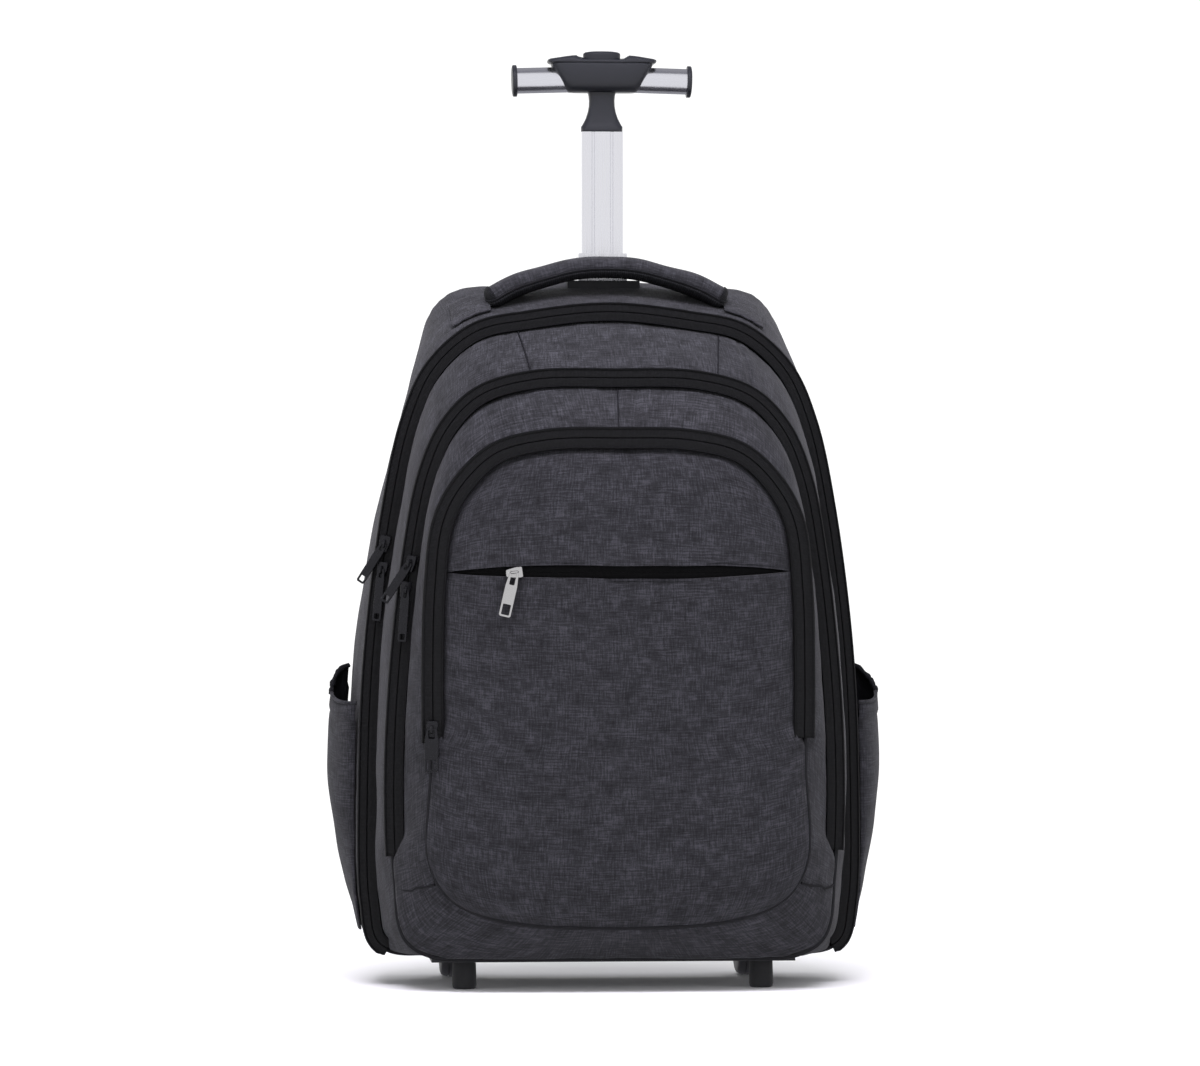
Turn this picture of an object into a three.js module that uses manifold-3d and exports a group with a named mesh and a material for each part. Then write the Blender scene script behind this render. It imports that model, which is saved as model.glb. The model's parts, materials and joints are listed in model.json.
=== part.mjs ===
// Wheeled backpack: a cloth daypack with three zipped compartments, two side pockets, shoulder straps,
// two rear wheels and a telescopic pole with a T-shaped grip.
// Millimetres, +Z up, the front faces -Y, the right side of the front view is +X.
import * as THREE from 'three';
import { mergeVertices } from 'three/addons/utils/BufferGeometryUtils.js';
import Module from 'manifold-3d';

const wasm = await Module();
wasm.setup();

// Fits
const GAP = 0.3;
const SLIDE_PLAY = 0.6;
const SEAM_BITE = 0.8;
const SEAM_RIM = 1;
const WELD = 1e-4;

// Cloth body
const BODY_HALF = 188;
const BODY_HEIGHT = 494;
const BASE_HEIGHT = 23;
const REAR_FACE = 85;
const MAIN_DEPTH = 90;
const MIDDLE_DEPTH = 55;
const FRONT_DEPTH = 35;
const PANEL_CROWN = 16;
const CLOTH = 3;
const PUFF = 1.5;
const SOFT_EDGE = 7;

// Back panel and base
const BACK_PAD = 12;
const BACK_PAD_EDGE = 8;
const BASE_PLATE = 3;
const BASE_PLATE_HALF = 132;
const BASE_PLATE_FRONT = -50;

// Zips
const ZIP_WIDTH = 12;
const ZIP_THICK = 2.4;
const ZIP_LEAN = 3.2;
const SLIT_HEIGHT = 302;
const SLIT_HALF = 118;
const SLIT_OPENING = 9;

// Side pockets
const POCKET_CLOTH = 2.6;
const POCKET_FRONT = 4;
const POCKET_REAR = 76;
const POCKET_FLOOR = 40;
const POCKET_MOUTH = 206;
const POCKET_REAR_RISE = 26;
const POCKET_SWELL = 16.5;

// Grab handle
const GRAB_SPAN = 230;
const GRAB_RISE = 34;
const GRAB_WIDTH = 36;
const GRAB_THICK = 15;
const GRAB_DEPTH_PLACE = 26;
const GRAB_END_SINK = 8.5;

// Shoulder straps
const STRAP_TOP = 474;
const STRAP_WIDTH = 66;
const STRAP_THICK = 11;
const STRAP_STAND = 45;
const STRAP_IN = 58;
const STRAP_SPREAD = 62;
const STRAP_DROP = 369;
const WEBBING_WIDTH = 25;
const WEBBING_THICK = 1.8;
const BUCKLE_WIDTH = 36;
const BUCKLE_THICK = 6;

// Wheels and feet
const WHEEL_RADIUS = 32;
const WHEEL_WIDTH = 20;
const WHEEL_OFFSET = BASE_PLATE_HALF - 21.5;
const WHEEL_Y = 72;
const HUB_RADIUS = 22;
const AXLE_RADIUS = 3;
const HOUSING_WALL = 3;
const HOUSING_SIDE_ROOM = 4;
const HOUSING_RIM_ROOM = 4;
const FOOT_RADIUS = 9;
const FOOT_OFFSET = BASE_PLATE_HALF - 24;
const FOOT_Y = -40;

// Telescopic pole
const POLE_WIDTH = 31.3;
const POLE_DEPTH = 16.5;
const TUBE_WALL = 1.8;
const CASING_WALL = 2.2;
const POLE_TOP = 628.7;
const POLE_LENGTH = 290;
const MID_TUBE_TOP = 538;
const MID_TUBE_LENGTH = 322;
const COLLAR_MARGIN = 6;
const COLLAR_HEIGHT = 9;
const COLLAR_LIP = 0.35;

// T-shaped grip
const NECK_HEIGHT = 29;
const GRIP_HEIGHT = 27;
const GRIP_TOP_WIDTH = 82;
const GRIP_FOOT_WIDTH = 53;
const GRIP_DEPTH = 31;
const BAR_LENGTH = 136.5;
const BAR_RADIUS = 9.6;
const BAR_SOCKET = 20;
const BAR_DROOP_DEG = 1.6;
const CAP_RADIUS = 11.2;
const CAP_THICK = 3.8;
const BUTTON_LENGTH = 26;
const BUTTON_WIDTH = 15;
const BUTTON_PROUD = 3.4;
const BUTTON_TRAVEL = 3;

// Zip sliders and pulls
const SLIDER_LENGTH = 12;
const SLIDER_WIDTH = 8;
const SLIDER_THICK = 3;
const BRIDGE_LENGTH = 5.6;
const BRIDGE_WIDTH = 1.4;
const BRIDGE_STOCK = 1;
const BRIDGE_ROOM = 2;
const PULL_BAR = 1.2;
const PULL_THICK = 1.2;
const EYE_LENGTH = 4.6;
const EYE_ARM = 1.4;

// Facets
const SPAN_STEPS = 2;
const ROUND_SIDES = 20;
const PIN_SIDES = 12;

// Outlines seen from the front, one row for each depth of the bag.
// Every cell is [out, up]: out as a share of BODY_HALF, up as a share of BODY_HEIGHT above the base cloth.
const OUTLINES = {
  rear: {
    top: [0, 1], crown: [0.372, 0.996], bend: [0.596, 0.984], shoulder: [0.686, 0.949],
    arm: [0.755, 0.844], chest: [0.878, 0.672], waist: [0.979, 0.449], belly: [1, 0.257],
    hip: [0.979, 0.079], foot: [0.904, 0.016], toe: [0.718, 0], sole: [0, 0],
  },
  main: {
    top: [0, 0.949], crown: [0.309, 0.937], bend: [0.521, 0.919], shoulder: [0.686, 0.864],
    arm: [0.777, 0.787], chest: [0.851, 0.656], waist: [0.92, 0.445], belly: [0.941, 0.257],
    hip: [0.934, 0.075], foot: [0.894, 0.016], toe: [0.718, 0], sole: [0, 0],
  },
  middle: {
    top: [0, 0.848], crown: [0.319, 0.845], bend: [0.521, 0.822], shoulder: [0.644, 0.775],
    arm: [0.723, 0.706], chest: [0.782, 0.591], waist: [0.835, 0.403], belly: [0.851, 0.25],
    hip: [0.838, 0.121], foot: [0.798, 0.03], toe: [0.649, 0.002], sole: [0, 0],
  },
  front: {
    top: [0, 0.759], crown: [0.277, 0.756], bend: [0.468, 0.737], shoulder: [0.596, 0.692],
    arm: [0.67, 0.638], chest: [0.702, 0.54], waist: [0.71, 0.409], belly: [0.708, 0.287],
    hip: [0.716, 0.146], foot: [0.638, 0.094], toe: [0.447, 0.062], sole: [0, 0.051],
  },
  back: {
    top: [0, 0.978], crown: [0.372, 0.974], bend: [0.574, 0.962], shoulder: [0.644, 0.927],
    arm: [0.707, 0.836], chest: [0.814, 0.682], waist: [0.904, 0.5], belly: [0.926, 0.358],
    hip: [0.91, 0.237], foot: [0.851, 0.146], toe: [0.681, 0.123], sole: [0, 0.123],
  },
};

// The last outline sample on each side that a zip still covers, counted from the top centre.
const ZIP_REACH = { main: 18, middle: 15, front: 13 };

// Swell of a side pocket: rise up the pocket, swell as a share of POCKET_SWELL.
const POCKET_ROWS = [
  { rise: 0, swell: 0 },
  { rise: 0.2, swell: 0.22 },
  { rise: 0.4, swell: 0.62 },
  { rise: 0.6, swell: 1 },
  { rise: 0.8, swell: 0.97 },
  { rise: 1, swell: 0.88 },
];

// Grab handle from its middle to its right end: out as a share of half the span, up as a share of the rise,
// width and thick as shares of the handle's own.
const GRAB_ROWS = [
  { out: 0, up: 1, width: 1, thick: 1 },
  { out: 0.2, up: 0.955, width: 1, thick: 1 },
  { out: 0.4, up: 0.79, width: 1, thick: 1 },
  { out: 0.6, up: 0.57, width: 0.98, thick: 0.92 },
  { out: 0.78, up: 0.32, width: 0.95, thick: 0.7 },
  { out: 0.9, up: 0.16, width: 0.92, thick: 0.48 },
  { out: 1, up: 0.03, width: 0.9, thick: 0.32 },
];

// A shoulder strap from the top down: drop as a share of STRAP_DROP, stand of STRAP_STAND,
// spread of STRAP_SPREAD, width of STRAP_WIDTH and thick of STRAP_THICK.
const STRAP_ROWS = [
  { drop: 0, stand: 0, spread: 0, width: 0.94, thick: 0.6 },
  { drop: 0.008, stand: 0.3, spread: 0.01, width: 0.96, thick: 0.85 },
  { drop: 0.045, stand: 0.67, spread: 0.03, width: 1, thick: 1 },
  { drop: 0.14, stand: 0.93, spread: 0.09, width: 1, thick: 1 },
  { drop: 0.28, stand: 1, spread: 0.2, width: 1, thick: 1 },
  { drop: 0.43, stand: 0.95, spread: 0.34, width: 0.98, thick: 1 },
  { drop: 0.57, stand: 0.8, spread: 0.49, width: 0.9, thick: 1 },
  { drop: 0.68, stand: 0.62, spread: 0.61, width: 0.72, thick: 0.85 },
  { drop: 0.72, stand: 0.54, spread: 0.66, width: 0.56, thick: 0.55 },
];
const BUCKLE_ROWS = [
  { drop: 0.72, stand: 0.54, spread: 0.66 },
  { drop: 0.775, stand: 0.43, spread: 0.73 },
];
const WEBBING_ROWS = [
  { drop: 0.775, stand: 0.43, spread: 0.73 },
  { drop: 0.86, stand: 0.26, spread: 0.83 },
  { drop: 0.95, stand: 0.09, spread: 0.94 },
  { drop: 1, stand: 0.05, spread: 1 },
];

// Worked-out places
const HALF_ZIP = ZIP_WIDTH / 2;
const INNER_EDGE = -(HALF_ZIP + SEAM_BITE);
const FLUSH_EDGE = SEAM_RIM - GAP;
const MAIN_RIM = REAR_FACE - MAIN_DEPTH;
const MIDDLE_RIM = MAIN_RIM - MIDDLE_DEPTH;
const FRONT_RIM = MIDDLE_RIM - FRONT_DEPTH;
const BACK_FACE = REAR_FACE + GAP + BACK_PAD;
const MID_WIDTH = POLE_WIDTH + 2 * (SLIDE_PLAY + TUBE_WALL);
const MID_DEPTH = POLE_DEPTH + 2 * (SLIDE_PLAY + TUBE_WALL);
const CASING_WIDTH = MID_WIDTH + 2 * (SLIDE_PLAY + CASING_WALL);
const CASING_DEPTH = MID_DEPTH + 2 * (SLIDE_PLAY + CASING_WALL);
const POLE_Y = REAR_FACE - CLOTH - GAP - CASING_DEPTH / 2;
const GRIP_FOOT = POLE_TOP + GAP + NECK_HEIGHT + GAP;
const GRIP_TOP = GRIP_FOOT + GRIP_HEIGHT;

const bag = new THREE.Group();

function finish(colour, roughness, metalness) {
  return new THREE.MeshStandardMaterial({ color: colour, roughness, metalness });
}
const cloth = () => finish('#413f47', 0.95, 0);
const zipTape = () => finish('#151517', 0.75, 0);
const blackPlastic = () => finish('#1d1e22', 0.5, 0);
const rubber = () => finish('#19191a', 0.85, 0);
const aluminium = () => finish('#c3c5c9', 0.3, 1);
const blackMetal = () => finish('#202022', 0.4, 0.8);
const steel = () => finish('#9a9ca0', 0.35, 1);

function add(name, geometry, material, parent = bag) {
  geometry.computeVertexNormals();
  const mesh = new THREE.Mesh(geometry, material);
  mesh.name = name;
  parent.add(mesh);
  return mesh;
}

// A closed skin over rings of one length. Both ends are closed by a ladder between point k and its partner.
function loft(rings) {
  const size = rings[0].length;
  const positions = rings.flatMap((ring) => ring.flatMap((point) => [point.x, point.y, point.z]));
  const faces = [];
  const quad = (a, b, c, d) => faces.push(a, b, c, a, c, d);
  for (let r = 0; r + 1 < rings.length; r++) {
    for (let k = 0; k < size; k++) {
      const next = (k + 1) % size;
      quad(r * size + k, r * size + next, (r + 1) * size + next, (r + 1) * size + k);
    }
  }
  const last = (rings.length - 1) * size;
  for (let k = 0; k + 1 < size / 2; k++) {
    quad(size - 1 - k, size - 2 - k, k + 1, k);
    quad(last + k, last + k + 1, last + size - 2 - k, last + size - 1 - k);
  }
  const geometry = new THREE.BufferGeometry();
  geometry.setAttribute('position', new THREE.Float32BufferAttribute(positions, 3));
  geometry.setIndex(faces);
  return outward(geometry);
}

function outward(geometry) {
  const position = geometry.getAttribute('position');
  const index = geometry.getIndex().array;
  const corner = [new THREE.Vector3(), new THREE.Vector3(), new THREE.Vector3()];
  let volume = 0;
  for (let f = 0; f < index.length; f += 3) {
    corner.forEach((point, k) => point.fromBufferAttribute(position, index[f + k]));
    volume += corner[0].dot(corner[1].clone().cross(corner[2]));
  }
  if (volume < 0) {
    const flipped = [];
    for (let f = 0; f < index.length; f += 3) {
      flipped.push(index[f], index[f + 2], index[f + 1]);
    }
    geometry.setIndex(flipped);
  }
  return geometry;
}

// Boolean work on closed skins
function asSolid(geometry) {
  const bare = geometry.clone();
  bare.deleteAttribute('normal');
  bare.deleteAttribute('uv');
  const merged = mergeVertices(bare, WELD);
  return new wasm.Manifold(new wasm.Mesh({
    numProp: 3,
    vertProperties: new Float32Array(merged.getAttribute('position').array),
    triVerts: new Uint32Array(merged.getIndex().array),
  }));
}

function asGeometry(solid) {
  const mesh = solid.getMesh();
  const geometry = new THREE.BufferGeometry();
  geometry.setAttribute('position', new THREE.Float32BufferAttribute(mesh.vertProperties, 3));
  geometry.setIndex(Array.from(mesh.triVerts));
  return geometry;
}

function cut(geometry, ...tools) {
  const left = tools.reduce((solid, tool) => solid.subtract(asSolid(tool)), asSolid(geometry));
  return asGeometry(left);
}

function join(geometry, ...others) {
  const whole = others.reduce((solid, other) => solid.add(asSolid(other)), asSolid(geometry));
  return asGeometry(whole);
}

function common(geometry, other) {
  return asGeometry(asSolid(geometry).intersect(asSolid(other)));
}

function block(low, high) {
  const size = high.map((value, axis) => value - low[axis]);
  const centre = high.map((value, axis) => (value + low[axis]) / 2);
  return new THREE.BoxGeometry(...size).translate(...centre);
}

function rod(radius, length, sides = ROUND_SIDES) {
  return new THREE.CylinderGeometry(radius, radius, length, sides);
}

// Outline samples in the front plane, clockwise from just right of the top centre.
function outline(row) {
  const right = Object.values(row).map(
    ([out, up]) => new THREE.Vector3(out * BODY_HALF, 0, BASE_HEIGHT + up * BODY_HEIGHT),
  );
  const left = right.slice(1, -1).reverse().map((point) => new THREE.Vector3(-point.x, 0, point.z));
  const curve = new THREE.CatmullRomCurve3([...right, ...left], true, 'centripetal');
  const count = SPAN_STEPS * (right.length + left.length);
  return Array.from({ length: count }, (_, k) => curve.getPoint((k + 0.5) / count));
}

const outlines = Object.fromEntries(Object.entries(OUTLINES).map(([name, row]) => [name, outline(row)]));

// Samples of an outline at one depth, moved outwards in the front plane by a distance for each sample.
// Nothing is pushed below the floor of the bag.
function ring(points, y, out, floor = BASE_HEIGHT) {
  const size = points.length;
  return points.map((point, k) => {
    const before = points[(k + size - 1) % size];
    const after = points[(k + 1) % size];
    const along = new THREE.Vector2(after.x - before.x, after.z - before.z).normalize();
    const push = out(k);
    return new THREE.Vector3(point.x - along.y * push, y, Math.max(floor, point.z + along.x * push));
  });
}

const even = (amount) => () => amount;

// How many samples lie between a sample and the top centre, on its own side.
function fromTop(k, size) {
  return Math.min(k, size - 1 - k);
}

// Where a zip runs, the inner piece ends inside it. Elsewhere both are sewn along the outline itself.
function seamEdge(points, reach, inset = 0) {
  return (k) => (fromTop(k, points.length) <= reach ? INNER_EDGE : FLUSH_EDGE) - inset;
}

function rimEdge(points, reach, inset) {
  return (k) => (fromTop(k, points.length) <= reach ? HALF_ZIP : SEAM_RIM) - inset;
}

function between(first, second, share, puff, floor) {
  const mixed = first.map((point, k) => point.clone().lerp(second[k], share));
  return ring(mixed, 0, even(puff), floor).map((point, k) => point.setY(mixed[k].y));
}

function scaled(points, centre, share, y) {
  return points.map((point) => new THREE.Vector3(
    point.x * share,
    y,
    centre + (point.z - centre) * share,
  ));
}

// A compartment: a deep cloth tray with its open side to the front.
function trayRings(rear, rim, reach, rearY, rimY, rearEdge, softness, inset) {
  const floor = BASE_HEIGHT + inset;
  const rearRing = ring(rear, rearY - inset, (k) => rearEdge(k) - softness - inset, floor);
  const softRing = ring(rear, rearY - inset - softness, (k) => rearEdge(k) - inset, floor);
  const rimRing = ring(rim, rimY, rimEdge(rim, reach, inset), floor);
  const middleRing = between(softRing, rimRing, 0.5, PUFF, floor);
  return softness > 0 ? [rearRing, softRing, middleRing, rimRing] : [rearRing, middleRing, rimRing];
}

function tray(...sizes) {
  return loft([...trayRings(...sizes, 0), ...trayRings(...sizes, CLOTH).reverse()]);
}

const MAIN_TRAY = [outlines.rear, outlines.main, ZIP_REACH.main, REAR_FACE, MAIN_RIM, even(0), SOFT_EDGE];

// The outside of the main compartment, grown by a clearance, to seat other pieces on.
function mainOutside(clearance) {
  return loft(trayRings(...MAIN_TRAY, -clearance));
}

function buildCompartments() {
  const poleHole = block(
    [-MID_WIDTH / 2 - SLIDE_PLAY, POLE_Y - MID_DEPTH / 2 - SLIDE_PLAY, POLE_TOP - POLE_LENGTH],
    [MID_WIDTH / 2 + SLIDE_PLAY, POLE_Y + MID_DEPTH / 2 + SLIDE_PLAY, POLE_TOP],
  );
  const wells = [housingBlock(-1, GAP), housingBlock(1, GAP)];
  add('main_compartment', cut(tray(...MAIN_TRAY), poleHole, ...wells), cloth());
  const { main, middle, front } = outlines;
  const middleEdge = seamEdge(main, ZIP_REACH.main);
  const middleTray = tray(main, middle, ZIP_REACH.middle, MAIN_RIM - GAP, MIDDLE_RIM, middleEdge, 0);
  add('middle_compartment', middleTray, cloth());
  const frontEdge = seamEdge(middle, ZIP_REACH.middle);
  const frontTray = tray(middle, front, ZIP_REACH.front, MIDDLE_RIM - GAP, FRONT_RIM, frontEdge, 0);
  add('front_compartment', frontTray, cloth());
}

// The crowned front panel: rings from the edge inwards, share of the edge ring and share of the crown.
const PANEL_ROWS = [
  { share: 1, crown: 0.12 },
  { share: 0.94, crown: 0.42 },
  { share: 0.82, crown: 0.76 },
  { share: 0.5, crown: 1 },
];

function panelRings(inset) {
  const edge = seamEdge(outlines.front, ZIP_REACH.front, inset);
  const edgeY = FRONT_RIM - GAP;
  const edgeRing = ring(outlines.front, edgeY, edge);
  const centre = edgeRing.reduce((sum, point) => sum + point.z, 0) / edgeRing.length;
  const crownY = (share) => edgeY - PANEL_CROWN * share + inset;
  return [edgeRing, ...PANEL_ROWS.map((row) => scaled(edgeRing, centre, row.share, crownY(row.crown)))];
}

// A slot with pointed ends that runs through the front panel.
function slitBlock(half, opening) {
  const lens = new THREE.Shape();
  lens.moveTo(-half, 0);
  lens.quadraticCurveTo(0, opening, half, 0);
  lens.quadraticCurveTo(0, -opening, -half, 0);
  const depth = 4 * PANEL_CROWN;
  const slab = new THREE.ExtrudeGeometry(lens, { depth, bevelEnabled: false, curveSegments: 8 });
  return slab.rotateX(Math.PI / 2).translate(0, FRONT_RIM + depth / 4, SLIT_HEIGHT);
}

function buildFrontPanel() {
  const skin = loft([...panelRings(0).reverse(), ...panelRings(CLOTH)]);
  add('front_panel', cut(skin, slitBlock(SLIT_HALF, SLIT_OPENING)), cloth());
  const tape = slitBlock(SLIT_HALF - 2 * CLOTH, SLIT_OPENING - 2 * GAP);
  add('zip_pocket', common(skin, tape), zipTape());
}

function buildBackPanel() {
  const face = outlines.back;
  const front = REAR_FACE + GAP;
  add('back_panel', loft([
    ring(face, front, even(-GAP)),
    ring(face, front + BACK_PAD / 2, even(0)),
    ring(face, BACK_FACE, even(-BACK_PAD_EDGE)),
  ]), cloth());
}

// A zip lies on the rim of its compartment and leans forwards to its inner edge.
function zipStrip(points, rimY, reach) {
  const size = points.length;
  const back = rimY - GAP;
  const corners = [
    ring(points, back, even(HALF_ZIP)),
    ring(points, back - ZIP_THICK, even(HALF_ZIP)),
    ring(points, back - ZIP_THICK - ZIP_LEAN, even(-HALF_ZIP)),
    ring(points, back - ZIP_LEAN, even(-HALF_ZIP)),
  ];
  const sections = [];
  for (let step = -reach - 1; step <= reach; step++) {
    const k = (step + size) % size;
    sections.push(corners.map((corner) => corner[k]));
  }
  return loft(sections);
}

function buildZips() {
  add('zip_main', zipStrip(outlines.main, MAIN_RIM, ZIP_REACH.main), zipTape());
  add('zip_middle', zipStrip(outlines.middle, MIDDLE_RIM, ZIP_REACH.middle), zipTape());
  add('zip_front', zipStrip(outlines.front, FRONT_RIM, ZIP_REACH.front), zipTape());
}

// Half width of the main compartment at one depth and height.
function sideHalf(y, z) {
  const rings = trayRings(...MAIN_TRAY, 0).slice(1);
  const halves = rings.map((points) => {
    const side = points.slice(0, points.length / 2);
    const lower = side.findIndex((point) => point.z <= z);
    const upper = side[lower - 1];
    const share = (upper.z - z) / (upper.z - side[lower].z);
    return { y: upper.y, half: upper.x + (side[lower].x - upper.x) * share };
  });
  const next = Math.max(1, halves.findIndex((entry) => entry.y <= y));
  const share = (halves[next - 1].y - y) / (halves[next - 1].y - halves[next].y);
  return halves[next - 1].half + (halves[next].half - halves[next - 1].half) * share;
}

const POCKET_STEPS = 8;
const POCKET_FULLNESS = 0.45;

// A side pocket: a sheet sewn to the side along three edges, with its mouth higher at the rear.
function pocket(side) {
  const sections = POCKET_ROWS.map((row) => {
    const skin = [];
    const lining = [];
    for (let step = 0; step <= POCKET_STEPS; step++) {
      const across = step / POCKET_STEPS;
      const y = THREE.MathUtils.lerp(POCKET_FRONT, POCKET_REAR, across);
      const mouth = POCKET_MOUTH + POCKET_REAR_RISE * across ** 2;
      const z = THREE.MathUtils.lerp(POCKET_FLOOR, mouth, row.rise);
      const swell = POCKET_SWELL * row.swell * Math.sin(Math.PI * across) ** POCKET_FULLNESS;
      const wall = sideHalf(y, z) + swell;
      skin.push(new THREE.Vector3(side * (wall + POCKET_CLOTH - SEAM_BITE), y, z));
      lining.unshift(new THREE.Vector3(side * (wall - SEAM_BITE), y, z));
    }
    return [...skin, ...lining];
  });
  return cut(loft(sections), mainOutside(GAP));
}

// A rounded band along a path: half width along the side vector, half thickness along the normal.
function band(stations, lift = new THREE.Vector3(1, 0, 0)) {
  return loft(stations.map((station) => {
    const side = lift.clone().addScaledVector(station.tangent, -lift.dot(station.tangent)).normalize();
    const normal = side.clone().cross(station.tangent).normalize();
    const corner = station.thick / 2;
    const flat = station.width / 2 - corner * BAND_CORNER;
    const section = [
      [flat, 1], [station.width / 2, BAND_SIDE], [station.width / 2, -BAND_SIDE], [flat, -1],
      [-flat, -1], [-station.width / 2, -BAND_SIDE], [-station.width / 2, BAND_SIDE], [-flat, 1],
    ];
    return section.map(([across, through]) => station.point.clone()
      .addScaledVector(side, across).addScaledVector(normal, through * corner));
  }));
}
const BAND_CORNER = 0.7;
const BAND_SIDE = 0.35;

function withTangents(stations) {
  return stations.map((station, k) => {
    const before = stations[Math.max(0, k - 1)].point;
    const after = stations[Math.min(stations.length - 1, k + 1)].point;
    return { ...station, tangent: station.tangent ?? after.clone().sub(before).normalize() };
  });
}

// The grab handle arches over the top in front of the pole, and its flat ends are sewn to the top cloth.
function buildGrabHandle() {
  const topSlope = (outlines.rear[0].z - outlines.main[0].z) / MAIN_DEPTH;
  const seat = outlines.main[0].z + topSlope * (GRAB_DEPTH_PLACE - MAIN_RIM);
  const endSeat = seat - GRAB_END_SINK;
  const right = GRAB_ROWS.map((row) => ({
    point: new THREE.Vector3(
      row.out * GRAB_SPAN / 2,
      GRAB_DEPTH_PLACE,
      endSeat + row.up * (GRAB_RISE + GRAB_END_SINK - GRAB_THICK / 2),
    ),
    width: row.width * GRAB_WIDTH,
    thick: row.thick * GRAB_THICK,
  }));
  const left = right.slice(1).reverse().map((station) => ({
    ...station,
    point: new THREE.Vector3(-station.point.x, station.point.y, station.point.z),
  }));
  const arch = band(withTangents([...left, ...right]), new THREE.Vector3(0, 1, 0));
  add('grab_handle', cut(arch, mainOutside(GAP)), cloth());
}

// Shoulder straps, their buckles and the webbing down to the lower corners of the back panel
function strapStations(rows, side, width, thick) {
  return rows.map((row) => ({
    point: new THREE.Vector3(
      side * (STRAP_IN + row.spread * STRAP_SPREAD),
      BACK_FACE + GAP + row.stand * STRAP_STAND,
      STRAP_TOP - row.drop * STRAP_DROP,
    ),
    width: width * (row.width ?? 1),
    thick: thick * (row.thick ?? 1),
  }));
}

function buildStraps(side, word) {
  const outwards = new THREE.Vector3(0, 1, 0);
  const strap = strapStations(STRAP_ROWS, side, STRAP_WIDTH, STRAP_THICK);
  strap[0].tangent = outwards;
  const buckle = strapStations(BUCKLE_ROWS, side, BUCKLE_WIDTH, BUCKLE_THICK);
  const along = buckle[1].point.clone().sub(buckle[0].point).normalize();
  strap[strap.length - 1].tangent = along;
  buckle.forEach((station) => Object.assign(station, { tangent: along }));
  buckle[0].point.addScaledVector(along, GAP);
  buckle[1].point.addScaledVector(along, -GAP);
  const webbing = strapStations(WEBBING_ROWS, side, WEBBING_WIDTH, WEBBING_THICK);
  webbing[0].tangent = along;
  add(`shoulder_strap_${word}`, band(withTangents(strap)), cloth());
  add(`strap_buckle_${word}`, band(buckle), blackPlastic());
  add(`strap_webbing_${word}`, band(withTangents(webbing)), zipTape());
}

// Wheel housings, wheels and feet
function housingSize(clearance) {
  return {
    half: WHEEL_WIDTH / 2 + HOUSING_SIDE_ROOM + HOUSING_WALL + clearance,
    front: WHEEL_Y - WHEEL_RADIUS - HOUSING_RIM_ROOM - HOUSING_WALL - clearance,
    top: 2 * WHEEL_RADIUS + HOUSING_RIM_ROOM + HOUSING_WALL + clearance,
  };
}

function housingBlock(side, clearance) {
  const size = housingSize(clearance);
  const centre = side * WHEEL_OFFSET;
  return block(
    [centre - size.half, size.front, BASE_HEIGHT - GAP - BASE_PLATE],
    [centre + size.half, REAR_FACE + clearance, size.top],
  );
}

function buildWheel(side, word) {
  const centre = side * WHEEL_OFFSET;
  const room = housingSize(-HOUSING_WALL);
  const hollow = block([centre - room.half, room.front, -1], [centre + room.half, 2 * REAR_FACE, room.top]);
  const bore = rod(AXLE_RADIUS + GAP, 4 * WHEEL_WIDTH, PIN_SIDES)
    .rotateZ(Math.PI / 2).translate(centre, WHEEL_Y, WHEEL_RADIUS);
  add(`wheel_housing_${word}`, cut(housingBlock(side, 0), hollow, bore), blackPlastic());
  const wheel = new THREE.Group();
  wheel.position.set(centre, WHEEL_Y, WHEEL_RADIUS);
  wheel.rotation.z = Math.PI / 2;
  bag.add(wheel);
  const axleLength = 2 * housingSize(0).half - HOUSING_WALL;
  add(`axle_${word}`, rod(AXLE_RADIUS, axleLength, PIN_SIDES), steel(), wheel);
  add(`tyre_${word}`, turned(TYRE_ROWS, HUB_RADIUS + GAP, WHEEL_RADIUS, WHEEL_WIDTH), rubber(), wheel);
  add(`hub_${word}`, turned(HUB_ROWS, AXLE_RADIUS + GAP, HUB_RADIUS, WHEEL_WIDTH), blackPlastic(), wheel);
}

// Turned sections: across as a share of the width, rim as a share from the inner to the outer radius.
const TYRE_ROWS = [
  { across: 0.5, rim: 0 }, { across: 0.5, rim: 0.8 }, { across: 0.36, rim: 1 },
  { across: -0.36, rim: 1 }, { across: -0.5, rim: 0.8 }, { across: -0.5, rim: 0 },
];
const HUB_ROWS = [
  { across: 0.58, rim: 0 }, { across: 0.58, rim: 0.25 }, { across: 0.3, rim: 0.35 },
  { across: 0.3, rim: 0.8 }, { across: 0.5, rim: 0.85 }, { across: 0.5, rim: 1 },
  { across: -0.5, rim: 1 }, { across: -0.5, rim: 0.85 }, { across: -0.3, rim: 0.8 },
  { across: -0.3, rim: 0.35 }, { across: -0.58, rim: 0.25 }, { across: -0.58, rim: 0 },
];

function turned(rows, inner, outer, width) {
  const profile = rows.map((row) => new THREE.Vector2(inner + (outer - inner) * row.rim, row.across * width));
  profile.push(profile[0].clone());
  const geometry = new THREE.LatheGeometry(profile, ROUND_SIDES);
  geometry.deleteAttribute('normal');
  geometry.deleteAttribute('uv');
  return outward(mergeVertices(geometry, WELD));
}

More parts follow.
